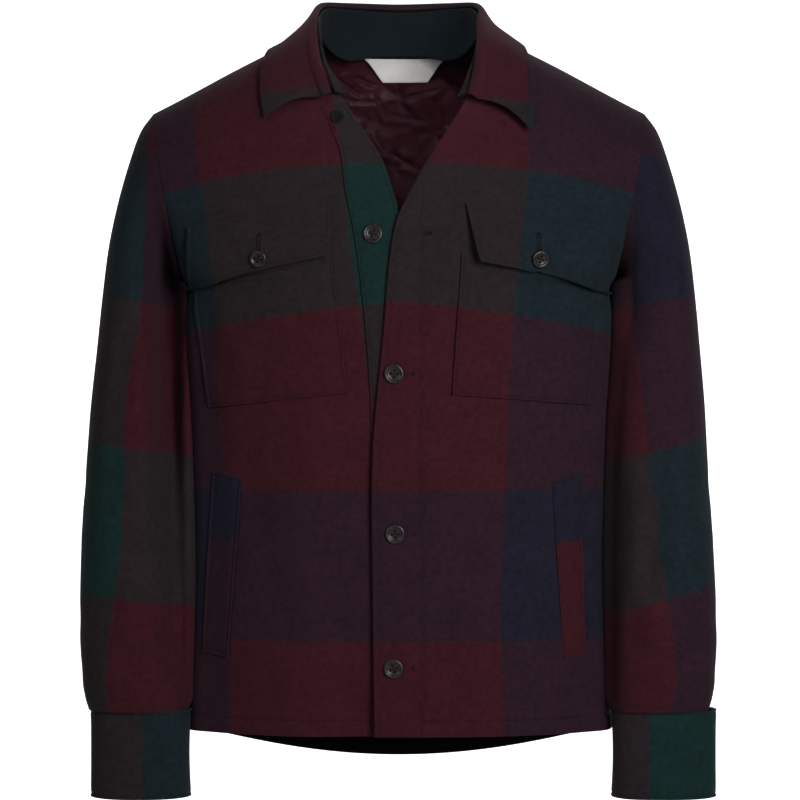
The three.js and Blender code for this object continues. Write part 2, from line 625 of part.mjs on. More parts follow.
// Directions out of a tube, with its first ring kept in the plane across the armhole.
function tubeNormals(grid, plane) {
  const around = grid[0].length;
  return grid.map((row, i) => row.map((_, j) => {
    const up = grid[Math.max(i - 1, 0)][j].clone().sub(grid[Math.min(i + 1, grid.length - 1)][j]);
    const across = row[(j + around - 1) % around].clone().sub(row[(j + 1) % around]);
    const out = across.cross(up).normalize();
    return i === 0 ? flattenTo(out, plane) : out;
  }));
}

// A sleeve, hung from its armhole down to the cuff's seam.
function sleeve(side) {
  const grid = pucker(sleeveGrid(side, SLEEVE_RINGS, SLEEVE_AROUND));
  grid[0].forEach((point) => point.addScaledVector(ARMHOLE_OUT, SEAM_HALF * 2));
  const normals = tubeNormals(grid, ARMHOLE_OUT);
  normals[grid.length - 1].forEach((normal) => flattenTo(normal, new THREE.Vector3(0, 0, 1)));
  return placed(wallGeometry(grid, moved(grid, normals, -WALL), true), side);
}

// A cuff, a short tube of doubled cloth.
function cuff(side) {
  const { middle, half } = CUFF_SIDES[side];
  const up = new THREE.Vector3(0, 0, 1);
  const grid = steps(CUFF.rings).map((t) => {
    const z = lerp(CUFF.top - GAP, CUFF.bottom, t);
    const snug = 1 - CUFF.waist * Math.sin(t * Math.PI);
    const ends = { outX: middle + half * snug, inX: middle - half * snug, depth: CUFF.depth * snug };
    return sleeveRing({ ...ends, outY: CUFF.y, inY: CUFF.y, outZ: z, inZ: z }, 0, SLEEVE_AROUND);
  });
  const normals = tubeNormals(grid, up).map((row) => row.map((normal) => flattenTo(normal, up)));
  return placed(wallGeometry(grid, moved(grid, normals, -CUFF_WALL), true), side);
}

// Where the neckline's edge is, and which way leads off the cloth towards the neck.
function neckEdge(station, side) {
  const ahead = { x: 4, z: -3, level: 0.93 };
  if (station.facing < 0) {
    const edge = side === "left" ? TOP_EDGE : UNDER_EDGE;
    const x = along(edge, "z", "x", station.neckZ);
    const back = bodyAt(x + ahead.x, station.neckZ + ahead.z, -1);
    const at = bodyAt(x, station.neckZ, -1);
    return { at, off: at.clone().sub(back).normalize() };
  }
  const s = station.neckX / SHOULDER_TIP.x;
  const at = bodyPoint(s, 1, 1);
  return { at, off: at.clone().sub(bodyPoint(s, ahead.level, 1)).normalize() };
}

// The collar's stations in order from the wearer's right end round the back to the left end.
function collarStations() {
  const reach = 4;
  const side = (name, sign) => [...COLLAR[name], ...COLLAR.back].map((station) => {
    const neck = neckEdge(station, name);
    const fold = new THREE.Vector3(...station.fold);
    const under = bodyAt(station.leafX, station.leafZ, station.facing);
    const lower = bodyAt(station.leafX, station.leafZ - reach, station.facing);
    const across = bodyAt(station.leafX + reach, station.leafZ - reach / 2, station.facing);
    const out = across.clone().sub(under).cross(under.clone().sub(lower)).normalize();
    out.multiplyScalar(Math.sign(out.y * station.facing) || 1);
    const leaf = under.clone().addScaledVector(out, station.lift);
    const lean = fold.clone().sub(neck.at).normalize().dot(neck.off);
    const beside = STAND_WALL / 2 * Math.sqrt(1 - lean * lean);
    const inward = new THREE.Vector3(-neck.at.x, NECK_MIDDLE_Y - neck.at.y, 0).normalize();
    const base = neck.at.clone().addScaledVector(neck.off, NECK_CLEAR + beside);
    base.addScaledVector(inward, NECK_IN);
    [fold, leaf, base].forEach((point) => point.setX(point.x * sign));
    return { fold, leaf, base };
  });
  const right = side("right", -1);
  const left = side("left", 1).reverse();
  return [...right, ...left.slice(1)];
}

// A smooth line through one named point of every station.
function collarLine(stations, name) {
  return new THREE.CatmullRomCurve3(stations.map((station) => station[name]), false, "centripetal");
}

// Sections of the collar: from the neck seam up the stand, and over the roll down the leaf.
function collarSections(count) {
  const stations = collarStations();
  const lines = ["base", "fold", "leaf"].map((name) => collarLine(stations, name));
  return steps(count).map((t) => {
    const [base, fold, leaf] = lines.map((line) => line.getPoint(t));
    const up = fold.clone().sub(base).normalize();
    const out = leaf.clone().sub(fold);
    out.addScaledVector(up, -out.dot(up)).normalize();
    return { base, fold, leaf, up, out, end: Math.abs(t * 2 - 1) };
  });
}

// The stand, from the neck seam up to just under the roll.
function collarStand() {
  const sections = collarSections(COLLAR_SECTIONS);
  const middle = sections.map(({ base, fold, up, out }) => steps(STAND_ROWS).map((u) => {
    const top = fold.clone().addScaledVector(up, -COLLAR_ROLL - STAND_BELOW_ROLL);
    return base.clone().lerp(top, u).addScaledVector(out, STAND_BOW * Math.sin(u * Math.PI));
  }));
  const normals = gridNormals(middle);
  normals.forEach((row, i) => [0, STAND_ROWS].forEach((j) => flattenTo(row[j], sections[i].up)));
  const [outer, inner] = [STAND_WALL / 2, -STAND_WALL / 2].map((half) => moved(middle, normals, half));
  return wallGeometry(outer, inner, false);
}

// The leaf, rolled over the stand's top and down to its free edge.
function collarLeaf() {
  const sections = collarSections(COLLAR_SECTIONS);
  const middle = sections.map(({ fold, leaf, up, out, end }) => {
    const roll = steps(LEAF_ROLL.rows).map((u) => fold.clone()
      .addScaledVector(up, COLLAR_ROLL * (Math.sin(u * Math.PI * LEAF_ROLL.turn) - 1 + LEAF_ROLL.open * u))
      .addScaledVector(out, COLLAR_ROLL * (1 - Math.cos(u * Math.PI * LEAF_ROLL.turn))));
    const start = roll[roll.length - 1];
    const atEnd = smooth((end - LEAF_END_RISE.from) / LEAF_END_RISE.over);
    const fall = steps(LEAF_FALL.rows).slice(1).map((u) => {
      const bow = LEAF_FALL.bow * Math.sin(u * Math.PI);
      const rise = LEAF_END_RISE.height * atEnd * Math.sin(u * Math.PI);
      const point = start.clone().lerp(leaf, u).addScaledVector(out, bow * LEAF_FALL.bowOut);
      point.add(new THREE.Vector3(0, -rise * LEAF_END_RISE.forward, rise + bow * LEAF_FALL.bowUp));
      return keptClear(point, LEAF_CLEAR);
    });
    return [...roll, ...fall];
  });
  const normals = gridNormals(middle);
  normals.forEach((row, i) => flattenTo(row[0], sections[i].up));
  const [outer, inner] = [LEAF_WALL / 2, -LEAF_WALL / 2].map((half) => moved(middle, normals, half));
  return wallGeometry(outer, inner, false);
}

// Puffed cells of the lining, between its lines of stitching.
function liningPuff(x, z) {
  const a = Math.abs(Math.sin((x + z) * Math.PI / LINING.cell / Math.SQRT2));
  const b = Math.abs(Math.sin((x - z) * Math.PI / LINING.cell / Math.SQRT2));
  return LINING.puff * Math.sqrt(a * b);
}

// The lining of the back, plain against the panel and puffed on the side that shows.
function backLining() {
  const { grid, normals } = backGrid();
  const within = (rows) => rows.slice(1).map((row) => row.slice(1, -1));
  const [points, directions] = [within(grid), within(normals)];
  const top = points[points.length - 1];
  top.forEach((point, j) => point.lerp(points[points.length - 2][j], LINING.short));
  const wall = [true, false].map((shows) => points.map((row, i) => row.map((point, j) => {
    const puff = shows ? LINING_WALL + liningPuff(point.x, point.z) : 0;
    return point.clone().addScaledVector(directions[i][j], -(WALL + GAP + puff));
  })));
  return wallGeometry(wall[1], wall[0], false);
}

// A point inside the back at x and z, moved in from the panel's outer face.
function insideBack(x, z, depth) {
  const reach = 2;
  const at = bodyAt(x, z, 1);
  const across = bodyAt(x + reach, z, 1).sub(bodyAt(x - reach, z, 1));
  const up = bodyAt(x, z + reach, 1).sub(bodyAt(x, z - reach, 1));
  return at.addScaledVector(across.cross(up).normalize(), depth);
}

// The bare neck label, wider at its top.
function neckLabel() {
  const base = WALL + GAP + LINING_WALL + LINING.puff + LABEL.clear;
  const cells = (make) => steps(LABEL.rows).map((v) => steps(LABEL.columns).map((u) => make(u, v)));
  const grids = [base + LABEL.wall, base].map((depth) => cells((u, v) => {
    const from = lerp(LABEL.bottomFrom, LABEL.topFrom, v);
    const to = lerp(LABEL.bottomTo, LABEL.topTo, v);
    const point = insideBack(lerp(from, to, u), lerp(LABEL.bottom, LABEL.top, v), depth + LABEL.topClear * v);
    return point.add(new THREE.Vector3(0, 0, LABEL.topRise * v));
  }));
  return wallGeometry(grids[0], grids[1], false);
}

// Points round a circle.
const circle = (x, y, radius, count) => Array.from({ length: count }, (_, i) => {
  const angle = i / count * 2 * Math.PI;
  return new THREE.Vector2(x + radius * Math.cos(angle), y + radius * Math.sin(angle));
});

// A round button with four holes, flat on the cloth at a point.
function button(size, at, side) {
  const disc = new THREE.Shape(circle(0, 0, size.size / 2, BUTTON_SIDES.rim));
  disc.holes = [[1, 1], [-1, 1], [-1, -1], [1, -1]]
    .map(([x, y]) => circle(x * size.spread, y * size.spread, size.hole, BUTTON_SIDES.hole))
    .map((hole) => new THREE.Path(hole));
  const geometry = new THREE.ExtrudeGeometry(disc, { depth: size.thick, bevelEnabled: false });
  const turn = new THREE.Quaternion().setFromUnitVectors(new THREE.Vector3(0, 0, 1), at.out);
  geometry.applyQuaternion(turn);
  geometry.translate(...at.point.toArray());
  const plain = new THREE.BufferGeometry();
  plain.setAttribute("position", geometry.getAttribute("position"));
  plain.setIndex(Array.from({ length: plain.getAttribute("position").count }, (_, i) => i));
  return placed(plain, side);
}

const shacket = new THREE.Group();
shacket.add(piece("back_panel", backPanel(), WINE));
shacket.add(piece("lining_back", backLining(), SATIN));
shacket.add(piece("neck_label", neckLabel(), LABEL_WHITE));
shacket.add(piece("collar_stand", collarStand(), NAVY));
shacket.add(piece("collar_leaf", collarLeaf(), WINE));
["left", "right"].forEach((side) => {
  shacket.add(piece(`front_${side}`, frontPanel(side), WINE));
  shacket.add(piece(`placket_${side}`, placket(side), side === "left" ? WINE : GREEN));
  shacket.add(piece(`sleeve_${side}`, sleeve(side), CHARCOAL));
  shacket.add(piece(`cuff_${side}`, cuff(side), CHARCOAL));
  const pocket = patch("pocket", side, POCKET_LIFT, POCKET_WALL, () => 0);
  shacket.add(piece(`chest_pocket_${side}`, pocket, WINE));
  const flap = patch("flap", side, FLAP_LIFT, FLAP_WALL, (u, v) => flapLift(side, u, v), [5, 8]);
  shacket.add(piece(`pocket_flap_${side}`, flap, CHARCOAL));
  const welt = patch("welt", side, POCKET_LIFT, FLAP_WALL, () => 0, [8, 3]);
  shacket.add(piece(`welt_${side}`, welt, NAVY));
  const { x, z } = FLAP_BUTTONS[side];
  const flapThere = flapLift(side, FLAP_BUTTON_LIFT.alongFlap, FLAP_BUTTON_LIFT.upFlap);
  const lift = FLAP_LIFT + FLAP_WALL + flapThere + FLAP_BUTTON_LIFT[side];
  const flapButton = button(FLAP_BUTTON, onFront(x, z, side, lift), side);
  shacket.add(piece(`flap_button_${side}`, flapButton, BUTTON_BROWN));
});
FRONT_BUTTONS.forEach(({ side, x, z }, i) => {
  const at = onFront(x, z, side, BAND_TOP + GAP);
  shacket.add(piece(`front_button_${i + 1}`, button(FRONT_BUTTON, at, side), BUTTON_BROWN));
});
const standAt = onFront(STAND_BUTTON_AT.x, STAND_BUTTON_AT.z, "right", BAND_TOP + 2 * GAP);
shacket.add(piece("stand_button", button(STAND_BUTTON, standAt, "right"), GREEN));

export default shacket;
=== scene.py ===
"""Dresses the wool check shacket: its cloth, sewing, buttons, light and camera.

Sizes are in millimetres, as on a cutting sheet, and a mesh is made in metres at the end. The front
faces -Y and the wearer's left is +X. Paired pieces are worked out on the +X side and then mirrored.
"""

from __future__ import annotations

import logging
import math
from dataclasses import dataclass
from enum import Enum
from typing import Sequence

import bpy
import numpy as np
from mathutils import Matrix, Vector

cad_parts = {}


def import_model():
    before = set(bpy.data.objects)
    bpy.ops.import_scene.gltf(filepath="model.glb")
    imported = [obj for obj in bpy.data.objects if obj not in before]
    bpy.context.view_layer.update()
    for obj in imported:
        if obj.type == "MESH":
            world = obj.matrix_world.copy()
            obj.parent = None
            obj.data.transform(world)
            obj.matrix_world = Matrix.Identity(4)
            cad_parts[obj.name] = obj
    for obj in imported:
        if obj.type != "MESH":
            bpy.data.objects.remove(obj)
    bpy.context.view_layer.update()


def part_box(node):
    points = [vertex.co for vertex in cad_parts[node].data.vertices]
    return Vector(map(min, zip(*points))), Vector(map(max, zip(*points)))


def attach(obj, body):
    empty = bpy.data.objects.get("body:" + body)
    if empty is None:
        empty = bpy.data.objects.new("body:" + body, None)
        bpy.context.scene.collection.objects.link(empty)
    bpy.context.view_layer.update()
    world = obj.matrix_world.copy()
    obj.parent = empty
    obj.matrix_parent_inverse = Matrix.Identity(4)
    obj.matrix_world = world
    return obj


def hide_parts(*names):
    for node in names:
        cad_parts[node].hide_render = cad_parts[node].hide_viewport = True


LOG = logging.getLogger("shacket")
METRES = 0.001

Array = np.ndarray
Point = tuple[float, float, float]
Colour = tuple[float, float, float]


class Side(Enum):
    """The wearer's two sides, with the sign of X on each."""

    LEFT = 1
    RIGHT = -1

    @property
    def word(self) -> str:
        """The side's name as it stands in the nodes' names."""
        return self.name.lower()

    def sided(self, points: Array) -> Array:
        """Points worked out on the +X side, put on this side."""
        return points * np.array([self.value, 1.0, 1.0])


class Facing(Enum):
    """Which half of the body a point is on, with the sign of Y there."""

    FRONT = -1
    BACK = 1


def smooth(share: Array | float) -> Array:
    """Eases a share from 0 to 1."""
    held = np.clip(share, 0.0, 1.0)
    return held * held * (3.0 - 2.0 * held)


def bell(apart: Array | float) -> Array:
    """A soft hump of height 1 about 0."""
    return np.exp(-np.square(apart))


def mix(a: Array | float, b: Array | float, share: Array | float) -> Array:
    """A value between two others."""
    return a + (b - a) * share


def unit(vectors: Array) -> Array:
    """Vectors of length 1."""
    return vectors / np.maximum(np.linalg.norm(vectors, axis=-1, keepdims=True), 1e-9)


def edge_steps(length: float, count: int, marks: Sequence[float] = (1.0, 2.0, 3.0, 4.0, 6.0)) -> Array:
    """Shares from 0 to 1, closer together near both ends, where the sewing is.

    Args:
        length: The whole length in millimetres.
        count: Steps in between.
        marks: Distances from an end that get a step.

    Returns:
        The shares.
    """
    near = np.asarray(marks, float) / length
    between = np.linspace(near[-1], 1 - near[-1], count)[1:-1]
    return np.concatenate([[0.0], near, between, 1 - near[::-1], [1.0]])


def ripple(along: Array) -> Array:
    """Uneven small waves, as beside a sewn line, between about -1 and 1."""
    return 0.4 * np.sin(along / 2.6) + 0.35 * np.sin(along / 4.3 + 1.0) + 0.35 * np.sin(along / 7.9 + 2.0)


def sewn_edge(away: Array, along: Array, stitch: float) -> Array:
    """Relief beside a sewn edge: a puffed rim, a groove at the stitches and puckers next to it.

    Args:
        away: Distance from the edge.
        along: Distance along the edge.
        stitch: How far inside the stitches are.

    Returns:
        The rise in millimetres.
    """
    rim = 0.35 * bell((away - stitch * 0.45) / (stitch * 0.35))
    groove = -0.8 * bell((away - stitch) / 1.0)
    return rim + groove + 0.35 * ripple(along) * bell((away - stitch - 1.0) / 5.0)


@dataclass(frozen=True)
class Table:
    """A short table of sizes, read smoothly between its rows."""

    keys: tuple[float, ...]
    columns: dict[str, tuple[float, ...]]

    def at(self, column: str, where: Array | float) -> Array:
        """Reads a column.

        Args:
            column: The column's name.
            where: Places along the keys.

        Returns:
            The column's values there.
        """
        keys = np.asarray(self.keys, float)
        values = np.asarray(self.columns[column], float)
        spot = np.asarray(where, float)
        row = np.searchsorted(keys[1:-1], spot, side="left")
        between = np.diff(values) / np.diff(keys)
        slopes = np.concatenate([between[:1], (between[:-1] + between[1:]) / 2, between[-1:]])
        span = keys[row + 1] - keys[row]
        t = np.clip((spot - keys[row]) / span, 0.0, 1.0)
        rest = 1.0 - t
        start = (1 + 2 * t) * rest * rest * values[row] + t * rest * rest * span * slopes[row]
        end = t * t * (3 - 2 * t) * values[row + 1] - t * t * rest * span * slopes[row + 1]
        return start + end


@dataclass(frozen=True)
class Crease:
    """A soft trough or ridge in a panel, worked out on the +X side.

    A steep crease falls off faster on one flank than on the other.
    """

    x: float
    z: float
    lean: float
    length: float
    width: float
    rise: float
    steep: float = 1.0

    def at(self, x: Array, z: Array) -> Array:
        """How far the crease stands out at a place.

        Args:
            x: Places across.
            z: Heights.

        Returns:
            The rise in millimetres.
        """
        across = (x - self.x - self.lean * (z - self.z)) / self.width
        across = np.where(across > 0, across * self.steep, across)
        return self.rise * bell((z - self.z) / self.length) * bell(across)


@dataclass(frozen=True)
class TubeCrease:
    """A pucker round a sleeve. turn is the angle from the outside towards the front."""

    z: float
    turn: float
    length: float
    spread: float
    rise: float
    slant: float = 0.25
    steep: float = 1.0

    def at(self, z: Array, turn: Array) -> Array:
        """How far the pucker stands out at a height and an angle.

        Args:
            z: Heights.
            turn: Angles in degrees.

        Returns:
            The rise in millimetres.
        """
        apart = (turn - self.turn + 540.0) % 360.0 - 180.0
        along = (z - self.z - apart * self.slant) / self.length
        along = np.where(along > 0, along * self.steep, along)
        return self.rise * bell(along) * bell(apart / self.spread)


@dataclass(frozen=True)
class LongFold:
    """A fold that runs down a sleeve, given by its angle at heights listed from below."""

    z: tuple[float, ...]
    turn: tuple[float, ...]
    spread: float
    rise: float
    steep: float = 1.0
    fade: float = 50.0

    def at(self, z: Array, turn: Array) -> Array:
        """How far the fold stands out at a height and an angle.

        Args:
            z: Heights.
            turn: Angles in degrees.

        Returns:
            The rise in millimetres.
        """
        centre = np.interp(z, self.z, self.turn)
        across = ((turn - centre + 540.0) % 360.0 - 180.0) / self.spread
        across = np.where(across > 0, across * self.steep, across)
        ends = smooth((z - self.z[0]) / self.fade) * smooth((self.z[-1] - z) / self.fade)
        return self.rise * bell(across) * ends


TORSO = Table(
    (-760, -650, -560, -480, -400, -330, -264),
    {
        "half": (221, 216, 213, 213.5, 216, 219.5, 221),
        "front": (103, 104, 106, 109, 113, 116, 117),
        "back": (99, 98, 98, 100, 105, 112, 117),
    },
)
FRONT_EDGE = {
    Side.LEFT: Table(
        (-719, -581, -433, -383, -314, -241, -204, -190, -162, -134, -108, -84, -60, -36, -14, -3),
        {"x": (-25, -27, -27, -23, -16, -10, -3, 3, 18, 34.7, 51.6, 66, 76, 83, 87, 88)},
    ),
    Side.RIGHT: Table(
        (-719, -383, -300, -240, -192, -165, -141, -105, -76, -56, -36, -14, -3),
        {"x": (-22, -20, -14, -7, 1, 9, 18, 41, 60, 76, 83, 87, 88)},
    ),
}
BODY_FOLDS = {
    Facing.FRONT: (
        Crease(178, -300, 0.35, 70, 16, 2.5),
        Crease(150, -455, -0.12, 110, 20, -3),
        Crease(95, -560, 0.08, 150, 26, 2.5),
        Crease(60, -640, 0.05, 90, 16, -2.5),
        Crease(175, -170, 0.6, 60, 14, 2),
    ),
    Facing.BACK: (
        Crease(120, -330, 0.3, 110, 24, 3),
        Crease(60, -560, 0.1, 150, 28, -3.5),
        Crease(140, -600, -0.05, 120, 24, 3),
    ),
}


@dataclass(frozen=True)
class BodyForm:
    """The filled-out body that every panel lies on."""

    armpit: Point = (221.0, 18.0, -264.0)
    shoulder: Point = (252.0, 3.0, -88.0)
    neck: Point = (88.0, 3.0, -3.0)
    armhole_depth: float = 82.0
    back_neck_y: float = 78.0
    back_neck_z: float = -20.0
    neck_flatness: float = 9.0
    neck_roundness: float = 0.85
    squareness: float = 2.3
    rounding: float = 1.45
    soft_power: float = 0.8
    soft_by: float = 0.3
    seam_half: float = 0.2
    inset_depth: float = 5.0
    inset_full: float = 32.0
    inset_none: float = 92.0

    def climb(self, level: Array) -> Array:
        """How far up a row has gone on its way round the shoulder."""
        return (1 - (1 - level) ** self.rounding) ** (1 / self.rounding)

    def turn_in(self, level: Array) -> Array:
        """How far in towards the shoulder line a row has gone."""
        return 1 - (1 - level ** self.rounding) ** (1 / self.rounding)

    def half_width(self, level: Array) -> Array:
        """Half the body's width on a row."""
        upper = mix(self.armpit[0], self.shoulder[0], self.climb(np.clip(level, 0, 1)))
        return np.where(level < 0, TORSO.at("half", self.armpit[2] + level), upper)

    def ridge(self, x: Array, facing: Facing) -> Array:
        """Height of the shoulder seam at x, carried on to the neckline.

        Args:
            x: Places across.
            facing: Front or back.

        Returns:
            The heights.
        """
        t = (x - self.neck[0]) / (self.shoulder[0] - self.neck[0])
        line = mix(self.neck[2], self.shoulder[2], t)
        if facing is Facing.FRONT:
            return line
        dip = mix(self.back_neck_z, self.neck[2], (np.abs(x) / self.neck[0]) ** self.neck_flatness)
        return np.where(t < 0, dip, line)

    def point(self, s: Array, level: Array, facing: Facing, creases: Sequence[Crease] = ()) -> Array:
        """Points of the body.

        Args:
            s: From 0 in the middle to 1 at the side seam or armhole.
            level: Below 0 a height under the armpit, and from 0 to 1 over to the shoulder seam.
            facing: Front or back.
            creases: Creases beyond the body's own folds.

        Returns:
            The points.
        """
        s, level = np.broadcast_arrays(np.asarray(s, float), np.asarray(level, float))
        share = np.minimum(np.abs(s), 1.0)
        above = np.clip(level, 0.0, 1.0)
        height = self.armpit[2] + np.minimum(level, 0.0)
        rise = self.climb(above)
        depth = TORSO.at(facing.name.lower(), height)
        side_y = mix(self.armpit[1], self.shoulder[1], rise)
        end_y = side_y + facing.value * self.armhole_depth * np.sin(np.arccos(1 - 2 * rise))
        middle_y = mix(facing.value * depth, self.shoulder[1], self.turn_in(above))
        soften = mix(1 / self.squareness, self.soft_power, smooth(above / self.soft_by))
        x = s * self.half_width(level)
        rounded = np.maximum(0.0, 1 - share ** self.squareness) ** soften
        z = mix(height, self.ridge(share * self.shoulder[0], facing), rise)
        fade = (1 - share ** 4) * (1 - above ** 2)
        folds = [*BODY_FOLDS[facing], *creases]
        drape = sum((crease.at(np.abs(x), z) for crease in folds), np.zeros_like(x)) * fade
        y = end_y + (middle_y - end_y) * rounded + facing.value * (drape + self.seam_half)
        if facing is Facing.BACK:
            near = np.minimum(1.0, np.abs(s) * self.shoulder[0] / self.neck[0])
            reach = (self.back_neck_y - self.neck[1]) * (1 - near * near) ** self.neck_roundness
            y = y + self.turn_in(above) * reach
        return np.stack([x, y, z], axis=-1)

    def on_row(self, x: Array, level: Array, facing: Facing, creases: Sequence[Crease] = ()) -> Array:
        """Points at x on the rows of given levels."""
        return self.point(np.clip(x / self.half_width(level), -1, 1), level, facing, creases)

    def at(self, x: Array, z: Array, facing: Facing, creases: Sequence[Crease] = ()) -> Array:
        """Points at x and z.

        Args:
            x: Places across.
            z: Heights.
            facing: Front or back.
            creases: Creases beyond the body's own folds.

        Returns:
            The points.
        """
        x, z = np.broadcast_arrays(np.asarray(x, float), np.asarray(z, float))
        low, high = np.zeros_like(z), np.ones_like(z)
        for _ in range(24):
            middle = (low + high) / 2
            under = self.on_row(x, middle, facing)[..., 2] < z
            low, high = np.where(under, middle, low), np.where(under, high, middle)
        level = np.where(z <= self.armpit[2], z - self.armpit[2], (low + high) / 2)
        return self.on_row(x, level, facing, creases)

    def inset(self, x: Array, z: Array) -> Array:
        """How far the under front lies behind the body's surface."""
        step = 1 - smooth((x - self.inset_full) / (self.inset_none - self.inset_full))
        return step * (self.inset_depth + 5.0 * smooth((-640.0 - z) / 80.0))

    def on_front(
        self, x: Array, z: Array, side: Side, lift: Array | float, creases: Sequence[Crease] = ()
    ) -> tuple[Array, Array]:
        """Points on one front, moved out from its cloth.

        Args:
            x: Places across, on the +X side.
            z: Heights.
            side: Which front.
            lift: How far out.
            creases: Creases of that front.

        Returns:
            The points and the outward directions.
        """
        reach = 1.5
        spot = self.at(x, z, Facing.FRONT, creases)
        right = self.at(x + reach, z, Facing.FRONT, creases)
        left = self.at(x - reach, z, Facing.FRONT, creases)
        over = self.at(x, z + reach, Facing.FRONT, creases)
        under = self.at(x, z - reach, Facing.FRONT, creases)
        out = unit(np.cross(right - left, over - under))
        back = self.inset(x, z) if side is Side.RIGHT else np.zeros_like(spot[..., 0])
        return spot + out * (lift - back)[..., None], out


FORM = BodyForm()


@dataclass(frozen=True)
class Check:
    """Where the wide bands of the check fall, from the photograph.

    A place on the cloth is given in bands: its whole part, taken in fours, is wine, green, wine, navy.
    """

    band: float = 150.0
    chest: float = -147.5
    chest_fall: float = 17.0
    ribs: float = -285.6
    ribs_fall: float = 25.0
    waist: float = -473.4
    hip: float = -623.5
    green_edge: Table = Table(
        (-760, -383, -313, -270, -214, -149, -134, -80),
        {"x": (-20, 26.8, 36.8, 41.8, 50.7, 54.7, 57.6, 66)},
    )
    right_navy: Table = Table(
        (-718, -628, -440, -383, -292, -184, -155, -92),
        {"x": (169, 171, 178, 182, 185, 195, 201, 205)},
    )
    left_navy: Table = Table(
        (-718, -627, -553, -473, -383, -292, -201, -150, -88),
        {"x": (103.8, 101.8, 101.8, 106.8, 108.8, 114.8, 123.8, 129, 129)},
    )

    def rows(self, x: Array, z: Array) -> Array:
        """Weft bands of the body, counted down from the shoulder.

        Args:
            x: Places across.
            z: Heights.

        Returns:
            Counts of bands.
        """
        reach = np.abs(x) / 190.0
        chest = self.chest - self.chest_fall * reach ** 2.5
        ribs = self.ribs - self.ribs_fall * reach ** 1.3
        edges = [chest + 160.0, chest, ribs, self.waist + 0 * x, self.hip + 0 * x, self.hip - 160.0 + 0 * x]
        down = np.zeros_like(x)
        for above, below in zip(edges[:-1], edges[1:]):
            down = down + np.clip((above - z) / (above - below), 0.0, 1.0)
        return down

    def columns(self, x: Array, z: Array, side: Side) -> Array:
        """Warp bands of one front, with x from the middle towards its own side.

        Args:
            x: Places across.
            z: Heights.
            side: Which front or side.

        Returns:
            Counts of bands.
        """
        if side is Side.LEFT:
            return 3 + (x - self.left_navy.at("x", z)) / self.band
        green = self.green_edge.at("x", z)
        navy = self.right_navy.at("x", z)
        return np.where(x < green, 2 - (green - x) / self.band, 2 + (x - green) / (navy - green))

    def body(self, points: Array, side: Side) -> Array:
        """Bands of a front and of what lies on it, worked out on the +X side."""
        x, z = points[..., 0], points[..., 2]
        return np.stack([self.columns(x, z, side), self.rows(x, z)], axis=-1)


CHECK = Check()


def grid_normals(grid: Array, closed: bool = False) -> Array:
    """Outward directions of a grid whose rows go up and whose columns go to the left seen from outside.

    Args:
        grid: Points, row by row.
        closed: Whether the columns go all round.

    Returns:
        The directions.
    """
    up = np.empty_like(grid)
    up[1:-1] = grid[2:] - grid[:-2]
    up[0], up[-1] = grid[1] - grid[0], grid[-1] - grid[-2]
    if closed:
        across = np.roll(grid, -1, axis=1) - np.roll(grid, 1, axis=1)
    else:
        across = np.empty_like(grid)
        across[:, 1:-1] = grid[:, 2:] - grid[:, :-2]
        across[:, 0], across[:, -1] = grid[:, 1] - grid[:, 0], grid[:, -1] - grid[:, -2]
    return unit(np.cross(across, up))


def closed_up(grid: Array) -> Array:
    """A tube's grid with its first column repeated at the end."""
    return np.concatenate([grid, grid[:, :1]], axis=1)


def row_distances(grid: Array) -> Array:
    """Distances along each row of a grid, from its first column."""
    step = np.linalg.norm(np.diff(grid, axis=1), axis=-1)
    return np.concatenate([np.zeros((len(grid), 1)), np.cumsum(step, axis=1)], axis=1)


